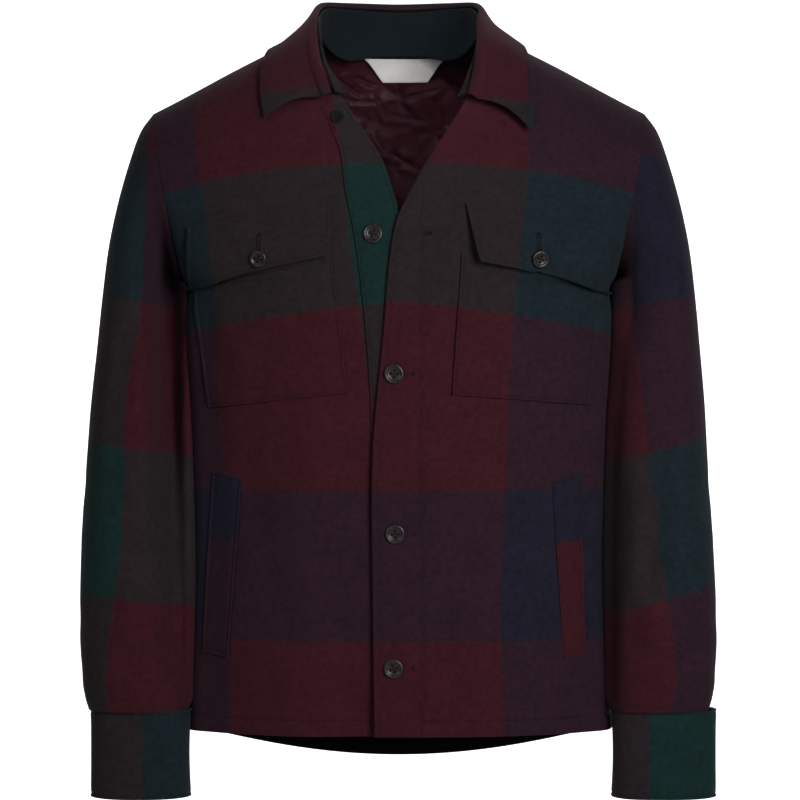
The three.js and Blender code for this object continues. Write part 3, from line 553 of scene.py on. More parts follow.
@dataclass
class Cloth:
    """One piece of cloth: a grid of points on its outer face, its wall and its places in the check."""

    name: str
    grid: Array
    bands: Array
    wall: float
    closed: bool = False
    edge_round: float = 1.0
    held: str = "hung"
    rests_on: tuple[str, ...] = ()
    edge_share: float = 0.2

    def mirrored(self, side: Side) -> "Cloth":
        """Puts a piece worked out on the +X side where its side is.

        Args:
            side: The wearer's side.

        Returns:
            The piece itself.
        """
        if side is Side.RIGHT:
            self.grid = self.grid[:, ::-1] * np.array([-1.0, 1.0, 1.0])
            self.bands = self.bands[:, ::-1]
        return self

    def _lengths(self) -> Array:
        """Distances along the cloth in both directions, for the weave.

        Returns:
            Metres across and up, for each point.
        """
        grid = closed_up(self.grid) if self.closed else self.grid
        up = np.linalg.norm(np.diff(grid, axis=0), axis=-1).mean(axis=1)
        u = row_distances(grid)
        v = np.concatenate([[0.0], np.cumsum(up)])[:, None] + 0 * u
        return np.stack([u, v], axis=-1) * METRES

    def _inset_edges(self) -> None:
        """Adds a row or column just inside each free edge, so that the edge can be rounded."""
        for axis in (0,) if self.closed else (0, 1):
            grid = np.moveaxis(self.grid, axis, 0)
            bands = np.moveaxis(self.bands, axis, 0)
            gap = np.linalg.norm(grid[1] - grid[0], axis=-1)
            t = np.clip(self.edge_round / np.maximum(gap, 1e-6), 0, 0.45)[:, None]
            first, first_band = mix(grid[0], grid[1], t), bands[0]
            gap = np.linalg.norm(grid[-2] - grid[-1], axis=-1)
            t = np.clip(self.edge_round / np.maximum(gap, 1e-6), 0, 0.45)[:, None]
            last, last_band = mix(grid[-1], grid[-2], t), bands[-1]
            grid = np.concatenate([grid[:1], first[None], grid[1:-1], last[None], grid[-1:]])
            bands = np.concatenate([bands[:1], first_band[None], bands[1:-1], last_band[None], bands[-1:]])
            self.grid, self.bands = np.moveaxis(grid, 0, axis), np.moveaxis(bands, 0, axis)

    def layers(self) -> tuple[Array, Array]:
        """The outer and inner face of the wall, drawn together at the free edges.

        Returns:
            The two grids.
        """
        normals = grid_normals(self.grid, self.closed)
        middle = self.grid - normals * (self.wall / 2)
        half = np.full(self.grid.shape[:2], self.wall / 2)
        half[[0, -1]] = self.wall * self.edge_share
        if not self.closed:
            half[:, [0, -1]] = self.wall * self.edge_share
        lift = normals * half[..., None]
        return middle + lift, middle - lift

    def _declare(self) -> None:
        """Takes the piece's grid, closed up on a tube; nothing more is done with it.
        """
        grid = closed_up(self.grid) if self.closed else self.grid

    def build(
        self, material: bpy.types.Material, inside: bpy.types.Material | None = None
    ) -> bpy.types.Object:
        """Makes the piece's object.

        Args:
            material: Its finish.
            inside: The finish of its inner face, where that differs.

        Returns:
            The object, with its place in its mesh.
        """
        self._inset_edges()
        outer, inner = self.layers()
        rows, columns = self.grid.shape[:2]
        wide = columns + 1 if self.closed else columns
        bands = self.bands
        if self.closed and bands.shape[1] == columns:
            bands = closed_up(bands)
        places = np.concatenate([outer.reshape(-1, 3), inner.reshape(-1, 3)]) * METRES
        i, j = np.meshgrid(np.arange(rows - 1), np.arange(wide - 1), indexing="ij")
        i, j = i.ravel(), j.ravel()
        faces = [
            self._quads([(0, i, j), (0, i, j + 1), (0, i + 1, j + 1), (0, i + 1, j)]),
            self._quads([(1, i, j), (1, i + 1, j), (1, i + 1, j + 1), (1, i, j + 1)]),
        ]
        j = np.arange(wide - 1)
        top = np.full_like(j, rows - 1)
        zero = np.zeros_like(j)
        faces.append(self._quads([(0, zero, j + 1), (0, zero, j), (1, zero, j), (1, zero, j + 1)]))
        faces.append(self._quads([(0, top, j), (0, top, j + 1), (1, top, j + 1), (1, top, j)]))
        if not self.closed:
            i = np.arange(rows - 1)
            zero, last = np.zeros_like(i), np.full_like(i, columns - 1)
            faces.append(self._quads([(0, i, zero), (0, i + 1, zero), (1, i + 1, zero), (1, i, zero)]))
            faces.append(self._quads([(0, i + 1, last), (0, i, last), (1, i, last), (1, i + 1, last)]))
        quads = np.concatenate(faces)
        layer, row, column = quads[..., 0], quads[..., 1], quads[..., 2]
        index = layer * rows * columns + row * columns + column % columns
        mesh = bpy.data.meshes.new(self.name)
        mesh.from_pydata(places.tolist(), [], index.tolist())
        for name, values in (("check", bands), ("weave", self._lengths())):
            uv = mesh.uv_layers.new(name=name)
            uv.data.foreach_set("uv", values[row, column].astype(np.float32).ravel())
        piece = finished(self.name, mesh, material)
        if inside is not None:
            mesh.materials.append(inside)
            slots = np.zeros(len(index), np.int32)
            slots[len(faces[0]) : 2 * len(faces[0])] = 1
            mesh.polygons.foreach_set("material_index", slots)
            mesh.update()
        self._declare()
        return piece

    @staticmethod
    def _quads(corners: Sequence[tuple[int | Array, Array, Array]]) -> Array:
        """Stacks four corners, each a layer, a row and a column, into faces.

        Args:
            corners: Each corner's layer, rows and columns.

        Returns:
            The faces' corners.
        """
        return np.stack(
            [np.stack([np.full_like(i, layer), i, j], axis=-1) for layer, i, j in corners], axis=1
        )


def linked(name: str, data: bpy.types.ID) -> bpy.types.Object:
    """Makes an object of some data and links it to the scene.

    Args:
        name: Its name.
        data: Its mesh, light or camera.

    Returns:
        The object.
    """
    made = bpy.data.objects.new(name, data)
    bpy.context.scene.collection.objects.link(made)
    return made


def applied(thing: bpy.types.Object) -> bpy.types.Mesh:
    """Turns an object's modifiers into a plain mesh and removes the object.

    Args:
        thing: The object.

    Returns:
        The mesh.
    """
    bpy.context.view_layer.update()
    graph = bpy.context.evaluated_depsgraph_get()
    mesh = bpy.data.meshes.new_from_object(thing.evaluated_get(graph))
    bpy.data.objects.remove(thing)
    return mesh


def finished(name: str, mesh: bpy.types.Mesh, material: bpy.types.Material) -> bpy.types.Object:
    """Links a mesh as a smooth piece that rides on the garment.

    Args:
        name: The piece's name.
        mesh: Its mesh, in place.
        material: Its finish.

    Returns:
        The object.
    """
    mesh.materials.append(material)
    mesh.shade_smooth()
    mesh.validate()
    piece = linked(name, mesh)
    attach(piece, "root")
    LOG.info("%s: %d faces", name, len(mesh.polygons))
    return piece


class Nodes:
    """Short ways to add and join the nodes of one tree."""

    def __init__(self, tree: bpy.types.NodeTree) -> None:
        """Starts from an empty tree."""
        self.tree = tree
        tree.nodes.clear()

    def add(self, kind: str, **values: object) -> bpy.types.Node:
        """Adds a node.

        Args:
            kind: The node's type.
            **values: Attributes to set on it.

        Returns:
            The node.
        """
        node = self.tree.nodes.new(kind)
        for name, value in values.items():
            setattr(node, name, value)
        return node

    def feed(self, socket: bpy.types.NodeSocket, value: object) -> None:
        """Joins another socket to this one, or sets it to a plain value.

        Args:
            socket: The input.
            value: The value, or the socket to join.
        """
        if isinstance(value, bpy.types.NodeSocket):
            self.tree.links.new(value, socket)
        else:
            socket.default_value = value

    def math(self, operation: str, *values: object) -> bpy.types.NodeSocket:
        """A Math node's result.

        Args:
            operation: The operation.
            *values: Its values or sockets.

        Returns:
            The result's socket.
        """
        node = self.add("ShaderNodeMath", operation=operation)
        for socket, value in zip(node.inputs, values):
            self.feed(socket, value)
        return node.outputs[0]

    def blend(self, factor: object, a: object, b: object, how: str = "MIX") -> bpy.types.NodeSocket:
        """Mixes two colours.

        Args:
            factor: The second colour's share.
            a: The first colour.
            b: The second colour.
            how: The blend's kind.

        Returns:
            The mixed colour's socket.
        """
        node = self.add("ShaderNodeMix", data_type="RGBA", blend_type=how)
        self.feed(node.inputs["Factor"], factor)
        self.feed(node.inputs[6], a)
        self.feed(node.inputs[7], b)
        return node.outputs[2]

    def gamma(self, colour: object, power: float) -> bpy.types.NodeSocket:
        """A colour raised to a power.

        Args:
            colour: The colour.
            power: The power.

        Returns:
            The colour's socket.
        """
        node = self.add("ShaderNodeGamma")
        self.feed(node.inputs["Color"], colour)
        node.inputs["Gamma"].default_value = power
        return node.outputs[0]

    def noise(
        self, where: object, scale: float, detail: float = 3.0, rough: float = 0.5
    ) -> bpy.types.NodeSocket:
        """A noise's value at a place.

        Args:
            where: The place.
            scale: Its scale.
            detail: Its detail.
            rough: Its roughness.

        Returns:
            The value's socket.
        """
        node = self.add("ShaderNodeTexNoise", noise_dimensions="3D")
        self.feed(node.inputs["Vector"], where)
        node.inputs["Scale"].default_value = scale
        node.inputs["Detail"].default_value = detail
        node.inputs["Roughness"].default_value = rough
        return node.outputs["Fac"]

    def spread(
        self, value: object, low: float, high: float, to_low: float, to_high: float
    ) -> bpy.types.NodeSocket:
        """Maps one range of values on to another.

        Args:
            value: The value.
            low: The range's start.
            high: The range's end.
            to_low: What the start becomes.
            to_high: What the end becomes.

        Returns:
            The value's socket.
        """
        node = self.add("ShaderNodeMapRange")
        for socket, given in zip(node.inputs, (value, low, high, to_low, to_high)):
            self.feed(socket, given)
        return node.outputs[0]

    def surface(
        self,
        colour: object,
        rough: object,
        height: object,
        bump: tuple[float, float],
        levels: dict[str, float],
    ) -> None:
        """Joins a Principled shader with a bump to the material's output.

        Args:
            colour: The base colour.
            rough: The roughness.
            height: The relief's height.
            bump: The relief's strength and its distance in metres.
            levels: Other inputs of the shader.
        """
        shader = self.add("ShaderNodeBsdfPrincipled")
        self.feed(shader.inputs["Base Color"], colour)
        self.feed(shader.inputs["Roughness"], rough)
        for name, level in levels.items():
            shader.inputs[name].default_value = level
        relief = self.add("ShaderNodeBump")
        relief.inputs["Strength"].default_value = bump[0]
        relief.inputs["Distance"].default_value = bump[1]
        self.feed(relief.inputs["Height"], height)
        self.feed(shader.inputs["Normal"], relief.outputs[0])
        self.feed(self.add("ShaderNodeOutputMaterial").inputs["Surface"], shader.outputs[0])


@dataclass(frozen=True)
class WoolYarns:
    """Colours of the three yarns of the check, and the sizes of the weave."""

    wine: Colour = (0.040, 0.0085, 0.013)
    green: Colour = (0.0075, 0.024, 0.0225)
    navy: Colour = (0.0125, 0.0115, 0.022)
    twill: float = 0.0021
    edge: float = 0.006
    mottle: float = 0.32

    def _band_colour(self, nodes: Nodes, place: bpy.types.NodeSocket) -> bpy.types.NodeSocket:
        """The yarn at a place counted in bands.

        Args:
            nodes: The tree's nodes.
            place: The place, in bands.

        Returns:
            The colour's socket.
        """
        share = nodes.math("FRACT", nodes.math("MULTIPLY", place, 0.25))
        ramp = nodes.add("ShaderNodeValToRGB")
        order = (self.wine, self.green, self.wine, self.navy)
        elements = ramp.color_ramp.elements
        stops = []
        for k, colour in enumerate(order):
            stops.append((k / 4 + self.edge / 8, colour))
            stops.append(((k + 1) / 4 - self.edge / 8, colour))
        while len(elements) < len(stops):
            elements.new(0.5)
        for element, (at, colour) in zip(elements, stops):
            element.position = at
            element.color = (*colour, 1.0)
        nodes.feed(ramp.inputs[0], share)
        return ramp.outputs[0]

    def group(self) -> bpy.types.NodeTree:
        """The shader node group of the woven check.

        Returns:
            A group that puts out the cloth's colour and the height of its weave.
        """
        tree = bpy.data.node_groups.new("woven_check", "ShaderNodeTree")
        tree.interface.new_socket("Shade", in_out="INPUT", socket_type="NodeSocketFloat")
        tree.interface.new_socket("Colour", in_out="OUTPUT", socket_type="NodeSocketColor")
        tree.interface.new_socket("Height", in_out="OUTPUT", socket_type="NodeSocketFloat")
        nodes = Nodes(tree)
        given = nodes.add("NodeGroupInput")
        check = nodes.add("ShaderNodeUVMap", uv_map="check")
        weave = nodes.add("ShaderNodeUVMap", uv_map="weave")
        bands = nodes.add("ShaderNodeSeparateXYZ")
        threads = nodes.add("ShaderNodeSeparateXYZ")
        nodes.feed(bands.inputs[0], check.outputs[0])
        nodes.feed(threads.inputs[0], weave.outputs[0])
        fuzz = nodes.noise(weave.outputs[0], 900.0, 2.0, 0.6)
        slub = nodes.noise(weave.outputs[0], 160.0, 3.0, 0.6)
        cloud = nodes.noise(weave.outputs[0], 30.0, 3.0, 0.5)
        shake = nodes.math("MULTIPLY", nodes.math("SUBTRACT", slub, 0.5), 0.02)
        warp = self._band_colour(nodes, nodes.math("ADD", bands.outputs[0], shake))
        weft = self._band_colour(nodes, nodes.math("ADD", bands.outputs[1], shake))
        line = nodes.math("ADD", threads.outputs[0], threads.outputs[1])
        bent = nodes.math("MULTIPLY_ADD", slub, 0.0016, line)
        turn = nodes.math("MULTIPLY", bent, 2 * math.pi / self.twill)
        rib = nodes.math("SINE", turn)
        over = nodes.math("MULTIPLY_ADD", rib, 0.16, nodes.spread(fuzz, 0.25, 0.75, 0.2, 0.8))
        seen = [nodes.gamma(yarn, 1 / 2.2) for yarn in (weft, warp)]
        woven = nodes.gamma(nodes.blend(over, *seen), 2.2)
        light = nodes.spread(slub, 0.2, 0.8, 1 - self.mottle, 1 + self.mottle)
        wide = nodes.spread(cloud, 0.3, 0.7, 0.92, 1.08)
        tone = nodes.math("MULTIPLY", nodes.math("MULTIPLY", light, wide), given.outputs["Shade"])
        grey = nodes.add("ShaderNodeCombineColor")
        for socket in grey.inputs[:3]:
            nodes.feed(socket, tone)
        colour = nodes.blend(1.0, woven, grey.outputs[0], "MULTIPLY")
        nap = nodes.math("ADD", fuzz, nodes.math("MULTIPLY", slub, 0.8))
        height = nodes.math("MULTIPLY_ADD", rib, 0.35, nap)
        put = nodes.add("NodeGroupOutput")
        nodes.feed(put.inputs["Colour"], colour)
        nodes.feed(put.inputs["Height"], height)
        return tree


@dataclass(frozen=True)
class WoolFinish:
    """Brushed wool cloth in the check. shade makes a piece as a whole lighter or darker; below 1 it is
    painted shade on a copy of the same cloth.
    """

    name: str
    shade: float = 1.0
    roughness: float = 0.92
    bump: float = 0.00035

    def material(self, check: bpy.types.NodeTree) -> bpy.types.Material:
        """Makes the material.

        Args:
            check: The group of the woven check.

        Returns:
            The material.
        """
        made = bpy.data.materials.new(self.name)
        made.use_nodes = True
        nodes = Nodes(made.node_tree)
        cloth = nodes.add("ShaderNodeGroup", node_tree=check)
        cloth.inputs["Shade"].default_value = self.shade
        nap = {"Specular IOR Level": 0.06, "Sheen Weight": 0.02, "Sheen Roughness": 0.6}
        colour, height = cloth.outputs["Colour"], cloth.outputs["Height"]
        nodes.surface(colour, self.roughness, height, (0.6, self.bump), nap)
        return made


@dataclass(frozen=True)
class PlainFinish:
    """A finish with one main colour, a cloudy second one, and a fine relief."""

    name: str
    colour: Colour
    second: Colour
    roughness: float
    roughness_spread: float = 0.1
    scale: float = 120.0
    bump: float = 0.0001
    bump_scale: float = 900.0
    specular: float = 0.5

    def material(self) -> bpy.types.Material:
        """Makes the material.

        Returns:
            The material.
        """
        made = bpy.data.materials.new(self.name)
        made.use_nodes = True
        nodes = Nodes(made.node_tree)
        where = nodes.add("ShaderNodeTexCoord").outputs["Object"]
        cloud = nodes.noise(where, self.scale, 4.0, 0.6)
        fine = nodes.noise(where, self.bump_scale, 2.0, 0.5)
        colour = nodes.blend(nodes.spread(cloud, 0.3, 0.7, 0.0, 1.0), (*self.colour, 1), (*self.second, 1))
        smoothest, roughest = self.roughness - self.roughness_spread, self.roughness + self.roughness_spread
        rough = nodes.spread(cloud, 0.3, 0.7, smoothest, roughest)
        nodes.surface(colour, rough, fine, (0.5, self.bump), {"Specular IOR Level": self.specular})
        return made


WOOLS = {
    "wool": WoolFinish("wool_check"),
    # The collar's copy of the wool is darkened slightly as painted shade.
    "collar_wool_painted_shade": WoolFinish("wool_check_collar_painted_shade", shade=0.95),
    # The stand's copy of the wool is darkened as painted shade, for the shadow inside the collar.
    "stand_wool_painted_shade": WoolFinish("wool_check_stand_painted_shade", shade=0.58),
}
PLAIN = {
    # Near black for the inner faces of the wool and the lining's lowest part: painted shade where they lie
    # in shadow.
    "painted_shade_inside": PlainFinish(
        "painted_shade_inside", (0.0035, 0.003, 0.0035), (0.005, 0.004, 0.005), 0.9, 0.05, 300.0, specular=0.05
    ),
    "satin": PlainFinish(
        "wine_satin", (0.030, 0.0075, 0.012), (0.044, 0.011, 0.017), 0.42, 0.06, 60.0, 0.00005, 1500.0, 0.1
    ),
    "label": PlainFinish(
        "label_satin", (0.90, 0.88, 0.865), (0.84, 0.82, 0.81), 0.6, 0.08, 90.0, 0.0001, 1800.0, 0.2
    ),
    "button": PlainFinish(
        "horn_button", (0.013, 0.010, 0.010), (0.026, 0.020, 0.019), 0.3, 0.06, 260.0, 0.0001, 700.0, 0.35
    ),
    "green_button": PlainFinish(
        "stand_button_wool", (0.006, 0.007, 0.005), (0.009, 0.010, 0.007),
        0.8, 0.1, 700.0, 0.0002, 1200.0, 0.1,
    ),
    "thread": PlainFinish(
        "seam_thread", (0.013, 0.005, 0.007), (0.020, 0.007, 0.010), 0.85, 0.1, 800.0, 0.0001, 2500.0, 0.1
    ),
    "pale_thread": PlainFinish(
        "neck_thread", (0.11, 0.12, 0.03), (0.16, 0.16, 0.05), 0.7, 0.1, 800.0, 0.0001, 2500.0
    ),
}


@dataclass
class Finishes:
    """Every finish of the garment, made once."""

    wool: bpy.types.Material
    collar_wool_painted_shade: bpy.types.Material
    stand_wool_painted_shade: bpy.types.Material
    painted_shade_inside: bpy.types.Material
    satin: bpy.types.Material
    label: bpy.types.Material
    button: bpy.types.Material
    green_button: bpy.types.Material
    thread: bpy.types.Material
    pale_thread: bpy.types.Material

    @classmethod
    def make(cls) -> "Finishes":
        """Makes the finishes.

        Returns:
            The finishes.
        """
        check = WoolYarns().group()
        wools = {key: finish.material(check) for key, finish in WOOLS.items()}
        plain = {key: finish.material() for key, finish in PLAIN.items()}
        return cls(**wools, **plain)


class StitchTree:
    """The Geometry Nodes tree that lays stitches along paths."""

    def __init__(self) -> None:
        """Builds the tree with its named sizes."""
        tree = bpy.data.node_groups.new("stitches", "GeometryNodeTree")
        face = tree.interface
        face.new_socket("Geometry", in_out="INPUT", socket_type="NodeSocketGeometry")
        self.keys = {
            name: face.new_socket(name, in_out="INPUT", socket_type=kind).identifier
            for name, kind in (
                ("Pitch", "NodeSocketFloat"),
                ("Length", "NodeSocketFloat"),
                ("Thickness", "NodeSocketFloat"),
                ("Thread", "NodeSocketMaterial"),
            )
        }
        face.new_socket("Geometry", in_out="OUTPUT", socket_type="NodeSocketGeometry")
        nodes = Nodes(tree)
        given = nodes.add("NodeGroupInput")
        curve = nodes.add("GeometryNodeMeshToCurve")
        nodes.feed(curve.inputs[0], given.outputs["Geometry"])
        points = nodes.add("GeometryNodeCurveToPoints", mode="LENGTH")
        nodes.feed(points.inputs["Curve"], curve.outputs[0])
        nodes.feed(points.inputs["Length"], given.outputs["Pitch"])
        turn = nodes.add("FunctionNodeAlignRotationToVector", axis="X")
        nodes.feed(turn.inputs["Vector"], points.outputs["Tangent"])
        stitch = nodes.add("GeometryNodeMeshIcoSphere")
        stitch.inputs["Radius"].default_value = 0.5
        stitch.inputs["Subdivisions"].default_value = 1
        size = nodes.add("ShaderNodeCombineXYZ")
        for socket, name in zip(size.inputs, ("Length", "Thickness", "Thickness")):
            nodes.feed(socket, given.outputs[name])
        place = nodes.add("GeometryNodeInstanceOnPoints")
        nodes.feed(place.inputs["Points"], points.outputs["Points"])
        nodes.feed(place.inputs["Instance"], stitch.outputs["Mesh"])
        nodes.feed(place.inputs["Rotation"], turn.outputs[0])
        nodes.feed(place.inputs["Scale"], size.outputs[0])
        real = nodes.add("GeometryNodeRealizeInstances")
        nodes.feed(real.inputs[0], place.outputs[0])
        dressed = nodes.add("GeometryNodeSetMaterial")
        nodes.feed(dressed.inputs["Geometry"], real.outputs[0])
        nodes.feed(dressed.inputs["Material"], given.outputs["Thread"])
        put = nodes.add("NodeGroupOutput")
        nodes.feed(put.inputs[0], dressed.outputs[0])
        self.tree = tree

    def sew(
        self,
        name: str,
        paths: Sequence[Array],
        thread: bpy.types.Material,
        pitch: float = 4.2,
        length: float = 3.2,
        thickness: float = 0.75,
    ) -> bpy.types.Object:
        """Lays stitches along paths as one plain mesh.

        Args:
            name: The piece's name.
            paths: Lines of points in millimetres.
            thread: The thread's finish.
            pitch: From one stitch to the next.
            length: A stitch's length.
            thickness: A stitch's thickness.

        Returns:
            The object.
        """
        places, edges = [], []
        for path in paths:
            start = len(places)
            places.extend((np.asarray(path) * METRES).tolist())
            edges.extend((k, k + 1) for k in range(start, len(places) - 1))
        guide_mesh = bpy.data.meshes.new(f"{name}_path")
        guide_mesh.from_pydata(places, edges, [])
        guide = linked(f"{name}_path", guide_mesh)
        modifier = guide.modifiers.new("stitches", "NODES")
        modifier.node_group = self.tree
        modifier[self.keys["Pitch"]] = pitch * METRES
        modifier[self.keys["Length"]] = length * METRES
        modifier[self.keys["Thickness"]] = thickness * METRES
        modifier[self.keys["Thread"]] = thread
        mesh = applied(guide)
        mesh.name = name
        mesh.materials.clear()
        return finished(name, mesh, thread)


def tube(name: str, paths: Sequence[Array], radius: float, material: bpy.types.Material) -> bpy.types.Object:
    """Makes round threads along paths.

    Args:
        name: The piece's name.
        paths: Lines of points in millimetres.
        radius: The thread's radius.
        material: Its finish.

    Returns:
        The object.
    """
    sides = 6
    places: list[Array] = []
    faces: list[tuple[int, ...]] = []
    for path in paths:
        line = np.asarray(path, float)
        tangent = unit(np.gradient(line, axis=0))
        flat = np.array([0.0, 1.0, 0.0])
        first = unit(np.cross(tangent, flat + 0 * tangent) + 1e-6)
        second = np.cross(tangent, first)
        start = sum(len(block) for block in places)
        angles = np.arange(sides) / sides * 2 * math.pi
        cos, sin = np.cos(angles)[None, :, None], np.sin(angles)[None, :, None]
        ring = first[:, None] * cos + second[:, None] * sin
        places.append((line[:, None] + ring * radius).reshape(-1, 3))
        for k in range(len(line) - 1):
            for n in range(sides):
                a, b = start + k * sides + n, start + k * sides + (n + 1) % sides
                faces.append((a, a + sides, b + sides, b))
        faces.append(tuple(start + n for n in range(sides)))
        faces.append(tuple(start + (len(line) - 1) * sides + n for n in reversed(range(sides))))
    mesh = bpy.data.meshes.new(name)
    mesh.from_pydata((np.concatenate(places) * METRES).tolist(), [], faces)
    return finished(name, mesh, material)


@dataclass
class Workshop:
    """What every part of the garment is made with."""

    finishes: Finishes
    stitches: StitchTree


@dataclass
class Front:
    """One front with its placket band, pocket, flap, welt and sewing."""

    side: Side
    shop: Workshop
    hem: float = -719.0
    side_rows: int = 112
    upper_rows: int = 56
    columns: int = 54
    crowding: float = 1.6
    wall: float = 2.0
    band_top: float = 2.0
    band_wall: float = 1.3
    top_band_seam: float = 24.0
    pocket_lift: float = 1.1
    pocket_wall: float = 1.5
    flap_wall: float = 2.0
    flap_seam_lift: float = 0.8
    hem_stitch: float = -703.0
    hem_reach: float = 40.0
    corner_fullness: float = 7.0
    check_turn: float = -525.0

    CREASES = {
        Side.LEFT: (
            Crease(160, -225, 0.9, 40, 9, -2.2, 1.6),
            Crease(198, -330, 0.5, 50, 9, 2.4, 1.5),
            Crease(120, -430, -0.25, 60, 12, 1.8, 1.4),
            Crease(88, -500, 0.3, 55, 10, -1.6),
            Crease(140, -560, 0.18, 80, 13, 2.0, 1.3),
            Crease(50, -430, 0.15, 70, 10, -1.3),
            Crease(64, -600, -0.12, 70, 11, 1.4),
            Crease(110, -655, 0.1, 45, 12, -1.8),
            Crease(160, -690, 0.05, 30, 14, 1.8),
            Crease(40, -140, -0.5, 34, 8, 1.3),
            Crease(120, -130, 0.5, 34, 12, -1.8),
        ),
        Side.RIGHT: (
            Crease(165, -235, 0.8, 42, 10, -2.0, 1.5),
            Crease(200, -345, 0.55, 52, 10, 2.6, 1.5),
            Crease(118, -420, -0.2, 62, 12, -1.6, 1.4),
            Crease(80, -470, 0.25, 60, 11, 1.7),
            Crease(135, -540, 0.22, 80, 14, -2.0, 1.3),
            Crease(48, -520, 0.1, 80, 10, 1.3),
            Crease(78, -610, -0.15, 60, 12, -1.5),
            Crease(112, -660, 0.12, 45, 12, 1.9),
            Crease(165, -685, 0.08, 34, 13, -1.6),
            Crease(70, -120, -0.6, 36, 9, 1.5),
            Crease(140, -120, 0.55, 36, 12, -2.0),
        ),
    }
    PATCHES = {
        ("pocket", Side.LEFT): ((62, -238), (201, -262), (190, -388), (52, -378)),
        ("pocket", Side.RIGHT): ((66, -246), (204, -268), (190, -391), (51, -376)),
        ("flap", Side.LEFT): ((66, -188), (207, -211), (208, -265), (78, -246)),
        ("flap", Side.RIGHT): ((67, -185), (212, -209), (209, -266), (68, -240)),
        ("welt", Side.LEFT): ((153, -465), (182, -457), (186, -638), (165, -645)),
        ("welt", Side.RIGHT): ((157, -462), (187, -455), (195, -639), (171, -643)),
    }
    FLARE = {Side.LEFT: 7.0, Side.RIGHT: 3.5}
    CORNER = {Side.LEFT: 6.0, Side.RIGHT: 1.0}

    @property
    def creases(self) -> tuple[Crease, ...]:
        """The creases of this front."""
        return self.CREASES[self.side]

    @property
    def flap_lift(self) -> float:
        """How far the flap's cloth is out from the front's."""
        return self.pocket_lift + self.pocket_wall + 0.4

    def panel(self) -> bpy.types.Object:
        """The front's cloth, cut to its own edge.

        Returns:
            The object.
        """
        tall = FORM.armpit[2] - self.hem
        steps = edge_steps(tall, self.side_rows, (1.0, 5.0, 10.0, 13.5, 14.8, 16.0, 17.2, 18.5, 22.0))
        below = (steps[: -9] - 1) * tall
        above = np.linspace(0.0, 1.0, self.upper_rows)[1:] ** 1.25
        level = np.concatenate([below, [-18.0, -9.0, 0.0], above])
        half = FORM.half_width(level)
        x = FORM.neck[0] * np.maximum(0.0, level)
        for _ in range(12):
            x = FRONT_EDGE[self.side].at("x", FORM.point(x / half, level, Facing.FRONT)[:, 2])
        t = 1 - (1 - np.linspace(0.0, 1.0, self.columns)) ** self.crowding
        s = mix((x / half)[:, None], 1.0, t[None, :])
        grid = FORM.point(s, level[:, None], Facing.FRONT, self.creases)
        x, z = grid[..., 0], grid[..., 2]
        relief = self._hem_relief(x, z)
        if self.side is Side.RIGHT:
            relief = relief - FORM.inset(x, z)
        grid = grid + grid_normals(grid) * relief[..., None]
        bands = CHECK.body(grid, self.side)
        cloth = Cloth(f"front_cloth_{self.side.word}", grid, bands, self.wall)
        finishes = self.shop.finishes
        # The front's inner face is near black: painted shade.
        piece = cloth.mirrored(self.side).build(finishes.wool, finishes.painted_shade_inside)
        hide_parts(f"front_{self.side.word}")
        return piece

    def _hem_relief(self, x: Array, z: Array) -> Array:
        """The turned-up hem, puffed below its stitches, and the cloth's slight unevenness.

        Args:
            x: Places across.
            z: Heights.

        Returns:
            The rise in millimetres.
        """
        up = z - self.hem
        hem = sewn_edge(up, x, self.hem_stitch - self.hem) + 0.5 * bell((up - 8.0) / 6.0)
        uneven = 0.5 * np.sin(x / 17.0 + z / 31.0) + 0.45 * np.sin(z / 23.0 - x / 41.0 + 1.3)
        return np.where(z < self.hem + self.hem_reach, hem, 0.0) + 0.5 * uneven + self._corner(x, z)

    def _corner(self, x: Array, z: Array) -> Array:
        """How much fuller the front lies beside the sleeve, which makes its side squarer."""
        half = TORSO.at("half", np.minimum(z, FORM.armpit[2]))
        return self.corner_fullness * bell((x - half + 14.0) / 11.0) * smooth((-258.0 - z) / 40.0)

    def band(self) -> bpy.types.Object:
        """The placket band along the front edge.

        Returns:
            The object.
        """
        top = -160.0 if self.side is Side.LEFT else -90.0
        z = np.linspace(self.hem + 1.0, top, 170)
        start = FRONT_EDGE[self.side].at("x", z) + 0.8
        end = np.maximum(start + 3.0, self._band_seam(z))
        wide = (end - start)[:, None]
        marks = np.array([0.0, 1.2, 2.6, 3.8, 5.0, 6.5])[None, :]
        near = marks * np.minimum(1.0, 0.45 * wide / 6.5)
        middle = mix(near[:, -1:], wide - near[:, -1:], np.linspace(0.0, 1.0, 9)[None, 1:-1])
        across = np.concatenate([near, middle, wide - near[:, ::-1]], axis=1)
        x = start[:, None] + across
        fade = np.clip(wide / 20.0, 0.0, 1.0)
        down = z[:, None] + 0 * x
        relief = sewn_edge(across, down, 4.2) + sewn_edge(wide - across, down + 31.0, 2.6)
        full = np.sin(across / np.maximum(wide, 1.0) * math.pi)
        relief = relief + 0.5 * full * (1 + 0.4 * ripple(down / 3.0))
        hem = sewn_edge(down - self.hem, x, self.hem_stitch - self.hem)
        relief = relief + hem * (down < self.hem + self.hem_reach)
        grid, _ = FORM.on_front(x, down, self.side, self.band_top + relief * fade, self.creases)
        bands = CHECK.body(grid, self.side)
        under = (f"front_cloth_{self.side.word}",)
        name = f"placket_cloth_{self.side.word}"
        cloth = Cloth(name, grid, bands, self.band_wall, edge_round=0.7, held="laid", rests_on=under)
        piece = cloth.mirrored(self.side).build(self.shop.finishes.wool)
        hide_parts(f"placket_{self.side.word}")
        return piece

    def _band_seam(self, z: Array) -> Array:
        """Where the placket band is sewn down.

        Args:
            z: Heights.

        Returns:
            Places across.
        """
        if self.side is Side.LEFT:
            return self.top_band_seam + 0 * z
        width = mix(48.0, 26.0, smooth((z + 190.0) / 110.0))
        return FRONT_EDGE[self.side].at("x", z) + 0.8 + width

